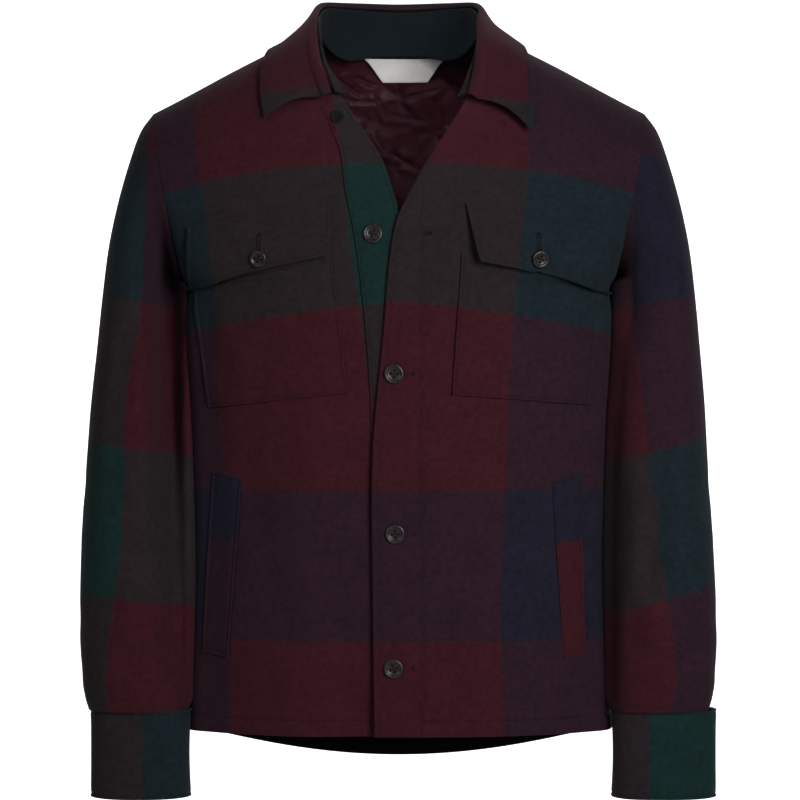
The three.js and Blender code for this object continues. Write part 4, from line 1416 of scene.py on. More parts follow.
    def _patch_place(self, name: str, u: Array, v: Array) -> tuple[Array, Array]:
        """Where a place on a patch is, in x and z.

        Args:
            name: Which patch.
            u: Shares across, from 0 to 1.
            v: Shares up, from 0 to 1.

        Returns:
            Places across and heights.
        """
        corners = np.asarray(self.PATCHES[(name, self.side)], float)
        inner_top, outer_top, outer_bottom, inner_bottom = corners
        low = mix(inner_bottom, outer_bottom, u[..., None])
        high = mix(inner_top, outer_top, u[..., None])
        place = mix(low, high, v[..., None])
        return place[..., 0], place[..., 1]

    def _flap_extra(self, u: Array, v: Array) -> Array:
        """How a flap stands off below its seam.

        Args:
            u: Shares across, from 0 to 1.
            v: Shares up, from 0 to 1.

        Returns:
            The distance in millimetres.
        """
        seat = (self.flap_lift - self.flap_seam_lift) * smooth((v - 0.25) / 0.75)
        held = 1 - 0.7 * bell((u - 0.5) / 0.2)
        flare = self.FLARE[self.side] * (1 - v) ** 1.5 * held
        return flare - seat + self.CORNER[self.side] * (1 - u) ** 3 * (1 - v)

    def _patch_points(self, name: str, u: Array, v: Array, lift: float) -> Array:
        """Points on a patch, lifted off the front.

        Args:
            name: Which patch.
            u: Shares across, from 0 to 1.
            v: Shares up, from 0 to 1.
            lift: How far off the front.

        Returns:
            The points.
        """
        x, z = self._patch_place(name, u, v)
        extra = self._flap_extra(u, v) if name == "flap" else self._pocket_ease(name, u, v)
        if name == "welt":
            rise = u if self.side is Side.LEFT else 1 - u
            extra = extra - 1.6 * (1 - rise)
        extra = extra + self._patch_sewing(name, u, v) + self._corner(x, z)
        return FORM.on_front(x, z, self.side, lift + extra, self.creases)[0]

    def _patch_size(self, name: str) -> tuple[float, float]:
        """A patch's width and height in millimetres.

        Args:
            name: Which patch.

        Returns:
            The width and the height.
        """
        corners = np.asarray(self.PATCHES[(name, self.side)], float)
        wide, tall = (float(np.linalg.norm(corners[k] - corners[0])) for k in (1, 3))
        return wide, tall

    def _patch_sewing(self, name: str, u: Array, v: Array) -> Array:
        """Rims, grooves and puckers along a patch's sewn edges.

        Args:
            name: Which patch.
            u: Shares across, from 0 to 1.
            v: Shares up, from 0 to 1.

        Returns:
            The rise in millimetres.
        """
        wide, tall = self._patch_size(name)
        stitch = 4.5 if name == "flap" else 3.0
        edges = [(u * wide, v * tall), ((1 - u) * wide, v * tall + 13.0), (v * tall, u * wide)]
        if name != "pocket":
            edges.append(((1 - v) * tall, u * wide + 29.0))
        return sum((sewn_edge(away, along, stitch) for away, along in edges), np.zeros_like(u * v))

    def _pocket_ease(self, name: str, u: Array, v: Array) -> Array:
        """Slight fullness in a pocket between its sewn edges.

        Args:
            name: Which patch.
            u: Shares across, from 0 to 1.
            v: Shares up, from 0 to 1.

        Returns:
            The rise in millimetres.
        """
        if name != "pocket":
            return 0 * u
        full = np.sin(np.clip(u, 0, 1) * math.pi) * np.sin(np.clip(v, 0, 1) * math.pi)
        return 1.2 * full * (0.7 + 0.3 * np.sin(7 * u + 3 * v))

    def patch(
        self, name: str, lift: float, wall: float, shape: tuple[int, int], node: str
    ) -> bpy.types.Object:
        """A patch laid on the front.

        Args:
            name: Which patch.
            lift: How far its inner face is off the front.
            wall: Its thickness.
            shape: Rows and columns.
            node: The node that it stands for.

        Returns:
            The object.
        """
        wide, tall = self._patch_size(name)
        v, u = np.meshgrid(edge_steps(tall, shape[0]), edge_steps(wide, shape[1]), indexing="ij")
        grid = self._patch_points(name, u, v, lift + wall)
        bands = CHECK.body(grid, self.side)
        if name == "welt":
            z = grid[..., 2]
            bands[..., 0] = np.where((z < self.check_turn) & (self.side is Side.LEFT), 2.5, 3.5)
            bands[..., 1] = 4 + (self.check_turn - z) / CHECK.band
        word = self.side.word
        under = (f"pocket_cloth_{word}",) if name == "flap" else (f"front_cloth_{word}",)
        cloth = Cloth(f"{name}_cloth_{word}", grid, bands, wall, edge_round=0.8, held="laid", rests_on=under)
        piece = cloth.mirrored(self.side).build(self.shop.finishes.wool)
        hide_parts(node)
        return piece

    def _edge_line(self, name: str, inset: float, lift: float, sides: str) -> list[Array]:
        """Lines inside a patch's edges, for stitching.

        Args:
            name: Which patch.
            inset: How far inside the edge, in millimetres.
            lift: How far off the front.
            sides: Letters of the edges: t top, b bottom, i inner, o outer.

        Returns:
            The lines.
        """
        wide, tall = self._patch_size(name)
        du, dv = inset / wide, inset / tall
        run = np.linspace(0.0, 1.0, 60)
        u, v = mix(du, 1 - du, run), mix(dv, 1 - dv, run)
        ways = {
            "t": (u, 1 - dv + 0 * run),
            "b": (u, dv + 0 * run),
            "i": (du + 0 * run, v),
            "o": (1 - du + 0 * run, v),
        }
        return [self.side.sided(self._patch_points(name, *ways[letter], lift)) for letter in sides]

    def sewing(self) -> bpy.types.Object:
        """All the stitching that shows on this front.

        Returns:
            The object.
        """
        on = self.band_top - 0.55
        z = np.linspace(self.hem + 5.0, -178.0 if self.side is Side.LEFT else -104.0, 220)
        lines = [
            (self._band_seam(z) - 2.6, z, on + 0 * z),
            (FRONT_EDGE[self.side].at("x", z) + 4.2, z, on + 0 * z),
        ]
        seam = self._band_seam(np.array([self.hem_stitch]))[0]
        x = np.linspace(seam + 3.0, 204.0, 90)
        lines.append((x, self.hem_stitch + 0 * x, -0.5 + 0 * x))
        edge = FRONT_EDGE[self.side].at("x", self.hem_stitch)
        x = np.linspace(edge + 6.0, seam - 4.0, 20)
        lines.append((x, self.hem_stitch + 0 * x, on + 0 * x))
        paths = []
        for x, z, lift in lines:
            spots, _ = FORM.on_front(x, z, self.side, lift + self._corner(x, z), self.creases)
            paths.append(self.side.sided(spots))
        pocket = self.pocket_lift + self.pocket_wall + 0.15
        flap = self.flap_lift + self.flap_wall + 0.15
        welt = self.pocket_lift + self.flap_wall + 0.15
        paths += self._edge_line("pocket", 3.0, pocket, "bio")
        paths += self._edge_line("flap", 4.5, flap, "biot")
        paths += self._edge_line("welt", 3.0, welt, "tbio")
        piece = self.shop.stitches.sew(f"stitching_front_{self.side.word}", paths, self.shop.finishes.thread)
        return piece

    def buttonholes(self) -> bpy.types.Object:
        """Worked buttonholes of this front, as zigzag thread round a slit.

        Returns:
            The object.
        """
        places = [((138.0, -226.0), (0.0, 1.0), self.flap_lift + self.flap_wall)]
        if self.side is Side.LEFT:
            places += [((21.5, -218.0), (1.0, 0.0), self.band_top)]
            places += [((x, z), (1.0, 0.0), self.band_top) for x, z in ((5, -357), (6, -516), (4.5, -650))]
        paths = []
        for centre, along, lift in places:
            half = 10.5 if along[0] else 8.5
            run = np.linspace(0.0, 2 * math.pi, 121)
            wide = np.where(np.arange(121) % 2, 1.9, 0.7)
            du = np.sign(np.cos(run)) * np.abs(np.cos(run)) ** 0.35 * half
            dv = np.sign(np.sin(run)) * np.abs(np.sin(run)) ** 0.6 * wide
            x = centre[0] + du * along[0] + dv * along[1]
            z = centre[1] + du * along[1] + dv * along[0]
            extra = 0.0
            if lift > self.band_top:
                corners = self.PATCHES[("flap", self.side)]
                v = np.clip((z - corners[3][1]) / (corners[0][1] - corners[3][1]) * 0.9, 0, 1)
                extra = self._flap_extra(0.5 + 0 * x, v)
            points, _ = FORM.on_front(x, z, self.side, lift + 0.25 + extra + 0 * x, self.creases)
            paths.append(self.side.sided(points))
        piece = tube(f"buttonholes_{self.side.word}", paths, 0.24, self.shop.finishes.thread)
        return piece

    def build(self) -> None:
        """Makes every piece of this front."""
        self.panel()
        self.band()
        for name, lift, wall, shape, node, slot in (
            ("pocket", self.pocket_lift, self.pocket_wall, (46, 46), "chest_pocket", "wool_wine"),
            ("flap", self.flap_lift, self.flap_wall, (34, 60), "pocket_flap", "wool_charcoal"),
            ("welt", self.pocket_lift, self.flap_wall, (60, 12), "welt", "wool_navy"),
        ):
            self.patch(name, lift, wall, shape, f"{node}_{self.side.word}")
        self.sewing()
        self.buttonholes()


SLEEVE = Table(
    tuple(range(14)),
    {
        "out_x": (252, 266, 278, 289, 298, 304, 309, 314, 317, 320.5, 323, 324, 321, 317),
        "out_z": (-88, -108, -142, -182, -226, -276, -330, -386, -440, -500, -560, -620, -664, -696),
        "out_y": (3, 3, 3, 2, 0, -3, -7, -12, -18, -24, -29, -33, -36, -38),
        "in_x": (221, 223, 224.5, 225, 225, 224, 222.5, 219.5, 217, 216, 216, 217, 217, 214.5),
        "in_z": (-264, -271, -278, -288, -302, -320, -346, -390, -440, -500, -560, -620, -664, -696),
        "in_y": (18, 18, 17, 15, 11, 6, 0, -8, -16, -24, -29, -33, -36, -38),
        "depth": (82, 82, 81, 79, 77, 75, 72, 69, 67, 65, 62, 58, 52, 45),
    },
)


@dataclass
class Sleeve:
    """One sleeve with its cuff and their stitching."""

    side: Side
    shop: Workshop
    rows: int = 190
    around: int = 84
    wall: float = 2.0
    squareness: float = 2.15
    cuff_top: float = -696.4
    cuff_bottom: float = -785.0
    cuff_wall: float = 3.0
    cuff_y: float = -38.0
    cuff_depth: float = 40.0
    inner_front_squareness: float = 2.75
    body_clear: float = 3.4
    even_slant: float = 14.0

    SLANT = ((200.0, 277.0, 426.0, 577.0), (8.0, 12.0, 26.0, 32.0))
    WEFT_EDGES = (20.0, -131.0, -277.0, -426.0, -577.0, -730.0)
    OUT_SHIFT = {Side.LEFT: -2.0, Side.RIGHT: 2.0}
    CUFF = {Side.LEFT: (269.0, 53.3), Side.RIGHT: (262.3, 51.0)}
    CUFF_EDGE = {Side.LEFT: 250.0, Side.RIGHT: 256.0}
    FOLDS = (
        TubeCrease(-300, 150, 26, 36, -6),
        TubeCrease(-345, 128, 18, 30, 4),
        TubeCrease(-455, 70, 14, 46, -4),
        TubeCrease(-482, 96, 13, 40, 3.5),
        TubeCrease(-540, 118, 15, 42, -4.5),
        TubeCrease(-592, 60, 14, 44, -3),
        TubeCrease(-640, 105, 13, 46, -4),
        TubeCrease(-668, 40, 12, 40, 3),
    )
    MORE_FOLDS = {
        Side.LEFT: (
            TubeCrease(-200, 110, 12, 26, -3.5, -0.9, 1.5),
            TubeCrease(-225, 128, 12, 24, 3.0, -0.9, 1.5),
            TubeCrease(-420, 150, 12, 30, -3, 0.4, 1.6),
            TubeCrease(-505, 60, 11, 34, 2.2, 0.3, 1.5),
            TubeCrease(-615, 120, 10, 30, 2.6, 0.3, 1.6),
            TubeCrease(-660, 80, 9, 34, -2.2, 0.2),
            TubeCrease(-400, 230, 16, 50, -3),
            TubeCrease(-520, 250, 15, 46, 3),
            TubeCrease(-600, 220, 14, 44, -3),
        ),
        Side.RIGHT: (
            TubeCrease(-250, 120, 60, 9, -6.0, 0.0, 1.6),
            TubeCrease(-330, 100, 70, 9, 5.0, -0.5, 1.8),
            TubeCrease(-380, 128, 90, 13, -8.0, -0.3, 1.3),
            TubeCrease(-470, 120, 80, 12, -5.0, -0.2, 1.3),
            TubeCrease(-505, 60, 11, 34, 2.4, 0.3, 1.5),
            TubeCrease(-620, 110, 10, 32, 2.8, 0.3, 1.6),
            TubeCrease(-400, 230, 16, 50, -3),
            TubeCrease(-520, 250, 15, 46, 3),
            TubeCrease(-600, 220, 14, 44, -3),
        ),
    }
    LONG_FOLDS = {
        Side.LEFT: (
            LongFold((-600, -540, -480, -420), (112, 100, 96, 92), 11, -5.0, 0.8),
            LongFold((-600, -540, -480, -420), (132, 122, 120, 118), 12, 3.0),
            LongFold((-690, -650, -610, -560), (138, 128, 124, 130), 15, -5.0, 1.0, 30),
            LongFold((-330, -270, -200, -130), (134, 126, 118, 108), 8, -3.5, 0.8),
            LongFold((-520, -440, -360, -280), (60, 66, 70, 76), 16, 2.0),
        ),
        Side.RIGHT: (
            LongFold((-600, -500, -400, -300, -200, -140), (124, 118, 108, 100, 92, 86), 15, 5.0),
            LongFold((-520, -440, -360, -280), (74, 70, 72, 76), 13, -3.5),
            LongFold((-690, -650, -610, -560), (150, 140, 130, 122), 14, -4.0, 1.0, 30),
        ),
    }
    TUCKS = {
        Side.LEFT: (LongFold((-500, -400, -300, -230), (158, 160, 158, 150), 26, -9.0, 0.7),),
        Side.RIGHT: (
            LongFold(
                (-690, -580, -480, -400, -300, -220, -120),
                (168, 160, 150, 140, 132, 122, 108),
                30, 42.0, 0.7,
            ),
        ),
    }
    WARP_EDGE = {
        Side.LEFT: Table(
            (-700, -656, -594, -513, -442, -391, -320, -290, -200, -130),
            {"x": (270, 277.5, 269, 260, 251.5, 246.5, 238, 236.5, 236, 238)},
        ),
        Side.RIGHT: Table(
            (-695, -656, -594, -513, -442, -391, -320, -290, -200, -130),
            {"x": (292, 294, 286, 276.5, 277.5, 276, 263, 260, 255, 253)},
        ),
    }

    @property
    def armhole_out(self) -> Array:
        """The direction across the armhole's plane, away from the body."""
        rise, run = FORM.shoulder[2] - FORM.armpit[2], FORM.armpit[0] - FORM.shoulder[0]
        return unit(np.array([rise, 0.0, run]))

    def _rings(self, columns: dict[str, Array]) -> tuple[Array, Array]:
        """Rings between outer and inner points.

        Args:
            columns: The sleeve's table, read at each row.

        Returns:
            The points and the angles in degrees.
        """
        c = {name: values[:, None] for name, values in columns.items()}
        outer = np.stack([c["out_x"], c["out_y"], c["out_z"]], axis=-1)
        inner = np.stack([c["in_x"], c["in_y"], c["in_z"]], axis=-1)
        angle = np.arange(self.around) / self.around * 2 * math.pi
        squared = smooth((-90.0 - c["out_z"]) / 100.0)
        full = (self.side is Side.LEFT) & (np.cos(angle) < 0) & (np.sin(angle) > 0)
        squareness = np.where(full, self.inner_front_squareness, self.squareness)
        power = mix(1.0, 2 / squareness[None, :], squared)
        cos = np.sign(np.cos(angle)) * np.abs(np.cos(angle)) ** power
        sin = np.sign(np.sin(angle)) * np.abs(np.sin(angle)) ** power
        points = (outer + inner) / 2 + (outer - inner) / 2 * cos[..., None]
        points[..., 1] -= c["depth"] * sin
        return self._beside_body(points, cos), np.degrees(angle)

    def _beside_body(self, points: Array, turn: Array) -> Array:
        """Lays the inner side of a sleeve along the side of the body.

        Args:
            points: The sleeve's points.
            turn: Cosines, below 0 on the inner side.

        Returns:
            The points.
        """
        x, y, z = points[..., 0], points[..., 1], points[..., 2]
        armpit_y = FORM.armpit[1]
        low = np.minimum(z, FORM.armpit[2])
        depth = np.where(y < armpit_y, TORSO.at("front", low), TORSO.at("back", low))
        reach = np.abs(y - armpit_y) / (depth + np.sign(armpit_y - y) * armpit_y)
        power = FORM.squareness
        side = TORSO.at("half", low) * np.maximum(0.0, 1 - reach ** power) ** (1 / power) + self.body_clear
        down = smooth((-256.0 - z) / 10.0) * smooth((z + 704.0) / 20.0)
        near = smooth((y + 26.0) / 26.0 + 1) * smooth((30.0 - y) / 26.0 + 1)
        made = points.copy()
        made[..., 0] = mix(x, side, down * near * smooth(-turn * 1.6))
        return made

    def grid(self) -> Array:
        """Points of the sleeve, from the armhole down.

        Returns:
            The grid.
        """
        t = np.linspace(0.0, 1.0, self.rows)
        columns = {name: SLEEVE.at(name, t * 13) for name in SLEEVE.columns}
        shift = self.OUT_SHIFT[self.side] * bell((columns["out_z"] + 480.0) / 130.0)
        columns["out_x"] = columns["out_x"] + shift
        points, turn = self._rings(columns)
        middle = points.mean(axis=1, keepdims=True)
        z, turn = points[..., 2], turn[None, :]
        folds = (*self.FOLDS, *self.MORE_FOLDS[self.side], *self.LONG_FOLDS[self.side])
        nothing = np.zeros(points.shape[:2])
        rise = sum((fold.at(z, turn) for fold in folds), nothing)
        tuck = sum((fold.at(z, turn) for fold in self.TUCKS[self.side]), nothing)
        ring = t[:, None] * 17
        ends = smooth(ring / 3) * smooth((17 - ring) / 2)
        inside = np.clip((points[..., 0] - 218.0) / 30.0, 0.0, 1.0)
        points = points + unit(points - middle) * (rise * ends * inside)[..., None]
        points[..., 1] += tuck * ends * np.clip((points[..., 0] - 216.0) / 14.0, 0.0, 1.0)
        seam = bell((t - 1.0) * self.rows / 3.0)[:, None, None]
        points = mix(points, middle, 0.035 * seam) - np.array([0.0, 0.0, 1.2]) * seam
        points[0] -= self.armhole_out * FORM.seam_half * 2
        return points

    def _bands(self, grid: Array, rows: Array) -> Array:
        """Places in the check round a tube, with the warp's edge where the photograph has it.

        Args:
            grid: The tube's points, from the outside round by the front.
            rows: Weft bands of the points.

        Returns:
            Bands with one column more than the grid.
        """
        arc = row_distances(closed_up(grid))
        front = self.around // 2
        edge_x = self.WARP_EDGE[self.side].at("x", grid[:, front // 2, 2])
        nearest = np.argmin(np.abs(grid[:, :front, 0] - edge_x[:, None]), axis=1)
        at = arc[np.arange(len(grid)), nearest]
        at = np.convolve(np.pad(at, 6, mode="edge"), np.ones(13) / 13, mode="valid")
        away = (arc - at[:, None]) / CHECK.band
        columns = 2 + away
        if self.side is Side.LEFT:
            in_front = np.arange(away.shape[1])[None, :] < front
            columns = np.where(in_front, np.maximum(3 - away, 2.02), 3 - away)
        rows = np.concatenate([rows, rows[:, :1]], axis=1)
        return np.stack([columns, rows], axis=-1)

    def _sleeve_rows(self, grid: Array) -> Array:
        """Weft bands of the sleeve, which run square to its slant.

        Args:
            grid: The cloth's points.

        Returns:
            Counts of bands.
        """
        x, z = grid[..., 0], grid[..., 2]
        low, high = x.min(axis=1, keepdims=True), x.max(axis=1, keepdims=True)
        slant = self.even_slant if self.side is Side.RIGHT else np.interp(-z, *self.SLANT)
        level = z - (slant - self.even_slant) * 0.5 + slant * (high - x) / (high - low)
        edges = self.WEFT_EDGES
        return 2 + sum(np.clip((a - level) / (a - b), 0, 1) for a, b in zip(edges[:-1], edges[1:]))

    def _tube(self, name: str, grid: Array, bands: Array, wall: float) -> Cloth:
        """A closed tube from a grid that runs down and round by the front."""
        turned = np.roll(grid[::-1, ::-1], 1, axis=1)
        return Cloth(name, turned, bands[::-1, ::-1], wall, closed=True)

    def _place(self, cloth: Cloth) -> Cloth:
        """Puts a tube on its side, keeping its seam where it is.

        Args:
            cloth: The tube.

        Returns:
            The tube itself.
        """
        if self.side is Side.RIGHT:
            cloth.grid = np.roll(cloth.grid[:, ::-1], 1, axis=1) * np.array([-1.0, 1.0, 1.0])
            cloth.bands = cloth.bands[:, ::-1]
        return cloth

    def build_sleeve(self) -> bpy.types.Object:
        """Makes the sleeve's cloth.

        Returns:
            The object.
        """
        grid = self.grid()
        bands = self._bands(grid, self._sleeve_rows(grid))
        cloth = self._place(self._tube(f"sleeve_cloth_{self.side.word}", grid, bands, self.wall))
        # The sleeve's inner face is near black: painted shade.
        piece = cloth.build(self.shop.finishes.wool, self.shop.finishes.painted_shade_inside)
        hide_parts(f"sleeve_{self.side.word}")
        return piece

    def build_cuff(self) -> Array:
        """Makes the cuff's cloth.

        Returns:
            The grid, for the stitching.
        """
        middle, half = self.CUFF[self.side]
        tall = self.cuff_top - self.cuff_bottom
        t = edge_steps(tall, 18)
        z = mix(self.cuff_top, self.cuff_bottom, t)
        snug = 1 - 0.02 * np.sin(t * math.pi)
        level = self.cuff_y + 0 * t
        columns = {
            "out_x": middle + half * snug,
            "in_x": middle - half * snug,
            "out_y": level,
            "in_y": level,
            "out_z": z,
            "in_z": z,
            "depth": self.cuff_depth * snug,
        }
        grid, turn = self._rings(columns)
        wave = np.sin(np.radians(turn) * 3 + 0.7)[None, :] * np.sin(t * math.pi)[:, None]
        around = np.radians(turn)[None, :] * 50.0
        edge = np.minimum(t, 1 - t)[:, None] * tall
        wave = 0.8 * wave + sewn_edge(edge, around + 9 * (t[:, None] > 0.5), 3.0)
        centre = grid.mean(axis=1, keepdims=True)
        grid = grid + unit(grid - centre) * wave[..., None]
        bands = self._bands(grid, 1.5 + 0 * grid[..., 0])
        flat = grid[:, : self.around // 2, 0]
        nearest = int(np.argmin(np.abs(flat.mean(axis=0) - self.CUFF_EDGE[self.side])))
        arc = row_distances(closed_up(grid))
        away = (arc - arc[:, nearest : nearest + 1]) / CHECK.band
        bands[..., 0] = 2 + away if self.side is Side.LEFT else 3 + away
        name = f"cuff_cloth_{self.side.word}"
        cloth = self._place(self._tube(name, grid, bands, self.cuff_wall))
        piece = cloth.build(self.shop.finishes.wool)
        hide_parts(f"cuff_{self.side.word}")
        return grid

    def sewing(self, cuff: Array) -> bpy.types.Object:
        """Stitching round the cuff's two edges.

        Args:
            cuff: The cuff's grid.

        Returns:
            The object.
        """
        centre = cuff.mean(axis=1, keepdims=True)
        out = cuff + unit(cuff - centre) * 0.1
        lines = [closed_up(out)[k] for k in (3, -4)]
        sided = [self.side.sided(line) for line in lines]
        piece = self.shop.stitches.sew(f"stitching_cuff_{self.side.word}", sided, self.shop.finishes.thread)
        return piece

    def build(self) -> None:
        """Makes the sleeve, its cuff and their stitching."""
        self.build_sleeve()
        self.sewing(self.build_cuff())


@dataclass
class Back:
    """The back panel, its crumpled satin lining and the neck label."""

    shop: Workshop
    side_hem: float = -722.0
    hem: float = -760.0
    wall: float = 2.0
    gap: float = 0.4
    lining_wall: float = 1.2
    puff: float = 2.5
    # Height below which the lining is painted near black, as painted shade in the hollow of the hem.
    painted_shade_top: float = -690.0
    cell: float = 46.0
    seed: int = 7
    crumples: int = 150
    check_middle: float = 20.0
    hem_turn: float = 16.0
    label_wall: float = 0.8

    PUCKERS = ((-70.0, -41.0), (3.0, -62.0), (-27.5, -91.0), (38.0, -100.0), (-5.0, -135.0), (60.0, -50.0))
    SHARP = (
        ((-25, -62), (-15, -78)), ((-15, -78), (27, -86)), ((-52, -65), (-25, -65)),
        ((-29, -102), (-18, -118)), ((3, -62), (-3, -40)), ((-70, -41), (-45, -58)),
        ((38, -100), (20, -125)), ((-60, -85), (-40, -110)), ((10, -60), (44, -52)),
        ((-10, -120), (25, -140)), ((40, -60), (52, -90)), ((-48, -40), (-30, -48)),
    )
    CREASES = (
        Crease(30, -300, 0.2, 90, 16, 1.8, 1.3),
        Crease(90, -420, -0.25, 80, 15, -2.0, 1.4),
        Crease(160, -470, 0.2, 70, 14, 2.2, 1.4),
        Crease(40, -680, 0.05, 60, 18, 2.0),
        Crease(180, -350, 0.4, 60, 12, 2.2, 1.4),
    )

    def _grid(self, rows: int, upper: int, columns: int, creases: Sequence[Crease] = ()) -> Array:
        """Points of the back from the hem to the shoulder, from the wearer's left to the right.

        Args:
            rows: Rows below the armpit.
            upper: Rows above it.
            columns: Columns.
            creases: Creases beyond the body's own folds.

        Returns:
            The points.
        """
        below = np.linspace(self.side_hem - FORM.armpit[2], 0.0, rows)
        above = np.linspace(0.0, 1.0, upper)[1:] ** 1.25
        level = np.concatenate([below, above])
        even = np.linspace(1.0, -1.0, columns)
        neck = FORM.neck[0] / FORM.shoulder[0]
        inner_share = 5 / 12
        beyond = np.clip((np.abs(even) - inner_share) / (1 - inner_share), 0, 1)
        outer = mix(neck, 1.0, 1 - (1 - beyond) ** 1.5)
        s = np.sign(even) * np.where(np.abs(even) < inner_share, neck * np.abs(even) / inner_share, outer)
        fade = np.clip(1 - np.arange(len(level)) / (rows - 1), 0, 1)[:, None]
        drop = (self.hem - self.side_hem) * (1 - s * s)[None, :] * fade
        return FORM.point(s[None, :], level[:, None] + drop, Facing.BACK, creases)

    def panel(self) -> bpy.types.Object:
        """The back's cloth.

        Returns:
            The object.
        """
        grid = self._grid(110, 52, 104, self.CREASES)
        x, z = grid[..., 0], grid[..., 2]
        columns = 2.0 + (np.abs(x) + self.check_middle) / CHECK.band
        bands = np.stack([columns, CHECK.rows(x, z)], axis=-1)
        cloth = Cloth("back_cloth", grid, bands, self.wall)
        # The back's inner face is near black: painted shade.
        piece = cloth.build(self.shop.finishes.wool, self.shop.finishes.painted_shade_inside)
        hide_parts("back_panel")
        return piece

    def _crumple(self, x: Array, z: Array) -> Array:
        """Sharp small folds of satin, strewn with a fixed seed.

        Args:
            x: Places across.
            z: Heights.

        Returns:
            The rise in millimetres.
        """
        rng = np.random.default_rng(self.seed)
        height = np.zeros_like(x)
        for _ in range(self.crumples):
            at_x, at_z = rng.uniform(-110, 110), rng.uniform(-250, 0)
            angle = rng.uniform(0, math.pi)
            long, wide = rng.uniform(12, 34), rng.uniform(4, 9)
            along = ((x - at_x) * math.cos(angle) + (z - at_z) * math.sin(angle)) / long
            across = (-(x - at_x) * math.sin(angle) + (z - at_z) * math.cos(angle)) / wide
            tent = np.maximum(0.0, 1 - np.sqrt(across ** 2 + 0.02))
            height += rng.uniform(0.4, 1.1) * rng.choice([-1, 1]) * tent * bell(along)
        for (ax, az), (bx, bz) in self.SHARP:
            way = np.array([bx - ax, bz - az], float)
            share = np.clip(((x - ax) * way[0] + (z - az) * way[1]) / (way @ way), 0.0, 1.0)
            away = np.hypot(x - ax - share * way[0], z - az - share * way[1])
            side = np.sign((x - ax) * way[1] - (z - az) * way[0])
            height += 2.2 * (0.6 + 0.4 * side) * np.maximum(0.0, 1 - away / 11.0)
            height -= 2.6 * np.maximum(0.0, 1 - away / 3.2)
        for px, pz in self.PUCKERS:
            away = np.hypot(x - px, z - pz)
            round_it = np.cos(5 * np.arctan2(z - pz, x - px) + px)
            height += -1.6 * bell(away / 7.0) + 0.9 * round_it * bell((away - 12.0) / 9.0)
        return height

    def lining(self) -> bpy.types.Object:
        """The lining, puffed between its tacks and crumpled where it shows.

        Returns:
            The object.
        """
        grid = self._grid(60, 116, 204)[1:, 1:-1]
        x, z = grid[..., 0], grid[..., 2]
        grid[-1] = mix(grid[-1], grid[-2], 0.15)
        a = np.abs(np.sin((x + z) * math.pi / self.cell / math.sqrt(2)))
        b = np.abs(np.sin((x - z) * math.pi / self.cell / math.sqrt(2)))
        crumple = self._crumple(x, z) * smooth((z + 270) / 60)
        free = smooth((-24.0 - z) / 16.0) * smooth((100.0 - np.abs(x)) / 14.0)
        puff = self.puff * np.sqrt(a * b) * free + 1.5 * crumple * free + 1.0
        most = mix(4.2, 7.5, smooth((-46.0 - z) / 14.0))
        depth = self.wall + self.gap + self.lining_wall + np.clip(puff, 0.0, most)
        inner = grid - grid_normals(grid) * depth[..., None]
        inner = inner[:, ::-1]
        bands = np.zeros((*inner.shape[:2], 2))
        cloth = Cloth("lining_satin", inner, bands, self.lining_wall, rests_on=("back_cloth",))
        piece = cloth.build(self.shop.finishes.satin)
        # Below the given top, the lining's faces are near black: painted shade at the hem.
        piece.data.materials.append(self.shop.finishes.painted_shade_inside)
        for face in piece.data.polygons:
            face.material_index = int(face.center.z < self.painted_shade_top * METRES)
        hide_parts("lining_back")
        return piece

    def _inside(self, x: Array, z: Array, depth: Array) -> Array:
        """Points inside the back, moved in from the panel's outer face.

        Args:
            x: Places across.
            z: Heights.
            depth: How far in.

        Returns:
            The points.
        """
        reach = 2.0
        spot = FORM.at(x, z, Facing.BACK)
        across = FORM.at(x + reach, z, Facing.BACK) - FORM.at(x - reach, z, Facing.BACK)
        up = FORM.at(x, z + reach, Facing.BACK) - FORM.at(x, z - reach, Facing.BACK)
        return spot + unit(np.cross(across, up)) * depth[..., None]

    def label(self) -> bpy.types.Object:
        """The bare neck label with its top stitching.

        Returns:
            The object.
        """
        depth = self.wall + self.gap + self.lining_wall + self.puff + 2.3
        v, u = np.meshgrid(np.linspace(0, 1, 14), np.linspace(0, 1, 34), indexing="ij")
        x = mix(mix(-18.5, -46.0, v), mix(32.5, 58.5, v), u)
        z = mix(-44.0, -21.0, v)
        grid = self._inside(x, z, depth + 9.0 * v) + np.array([0.0, 0.0, 1.0]) * (14.0 * v)[..., None]
        bands = np.zeros((*grid.shape[:2], 2))
        under = ("lining_satin",)
        wall = self.label_wall
        cloth = Cloth("label_cloth", grid, bands, wall, edge_round=0.4, held="laid", rests_on=under)
        piece = cloth.build(self.shop.finishes.label)
        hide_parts("neck_label")
        line = mix(grid[-1], grid[-2], 0.3) - np.array([0.0, 0.5, 0.0])
        sewn = self.shop.stitches.sew(
            "stitching_label", [line], self.shop.finishes.pale_thread, pitch=3.0, length=2.5, thickness=0.8
        )
        return piece

    def sewing(self) -> bpy.types.Object:
        """Stitching of the back's hem.

        Returns:
            The object.
        """
        grid = self._grid(110, 52, 104, self.CREASES)
        out = grid + grid_normals(grid) * 0.1
        t = self.hem_turn / np.linalg.norm(grid[1] - grid[0], axis=-1)
        row = np.minimum(np.floor(t).astype(int), 20)
        index = np.arange(grid.shape[1])
        line = mix(out[row, index], out[row + 1, index], (t - row)[:, None])
        piece = self.shop.stitches.sew("stitching_back", [line[2:-2]], self.shop.finishes.thread)
        return piece

    def build(self) -> None:
        """Makes the back's pieces."""
        self.panel()
        self.lining()
        self.label()
        self.sewing()


@dataclass(frozen=True)
class Station:
    """A section of the collar: the top of its roll, the leaf's edge, and where the stand meets the neck."""

    fold: Point
    leaf_x: float
    leaf_z: float
    facing: Facing
    lift: float
    neck: float


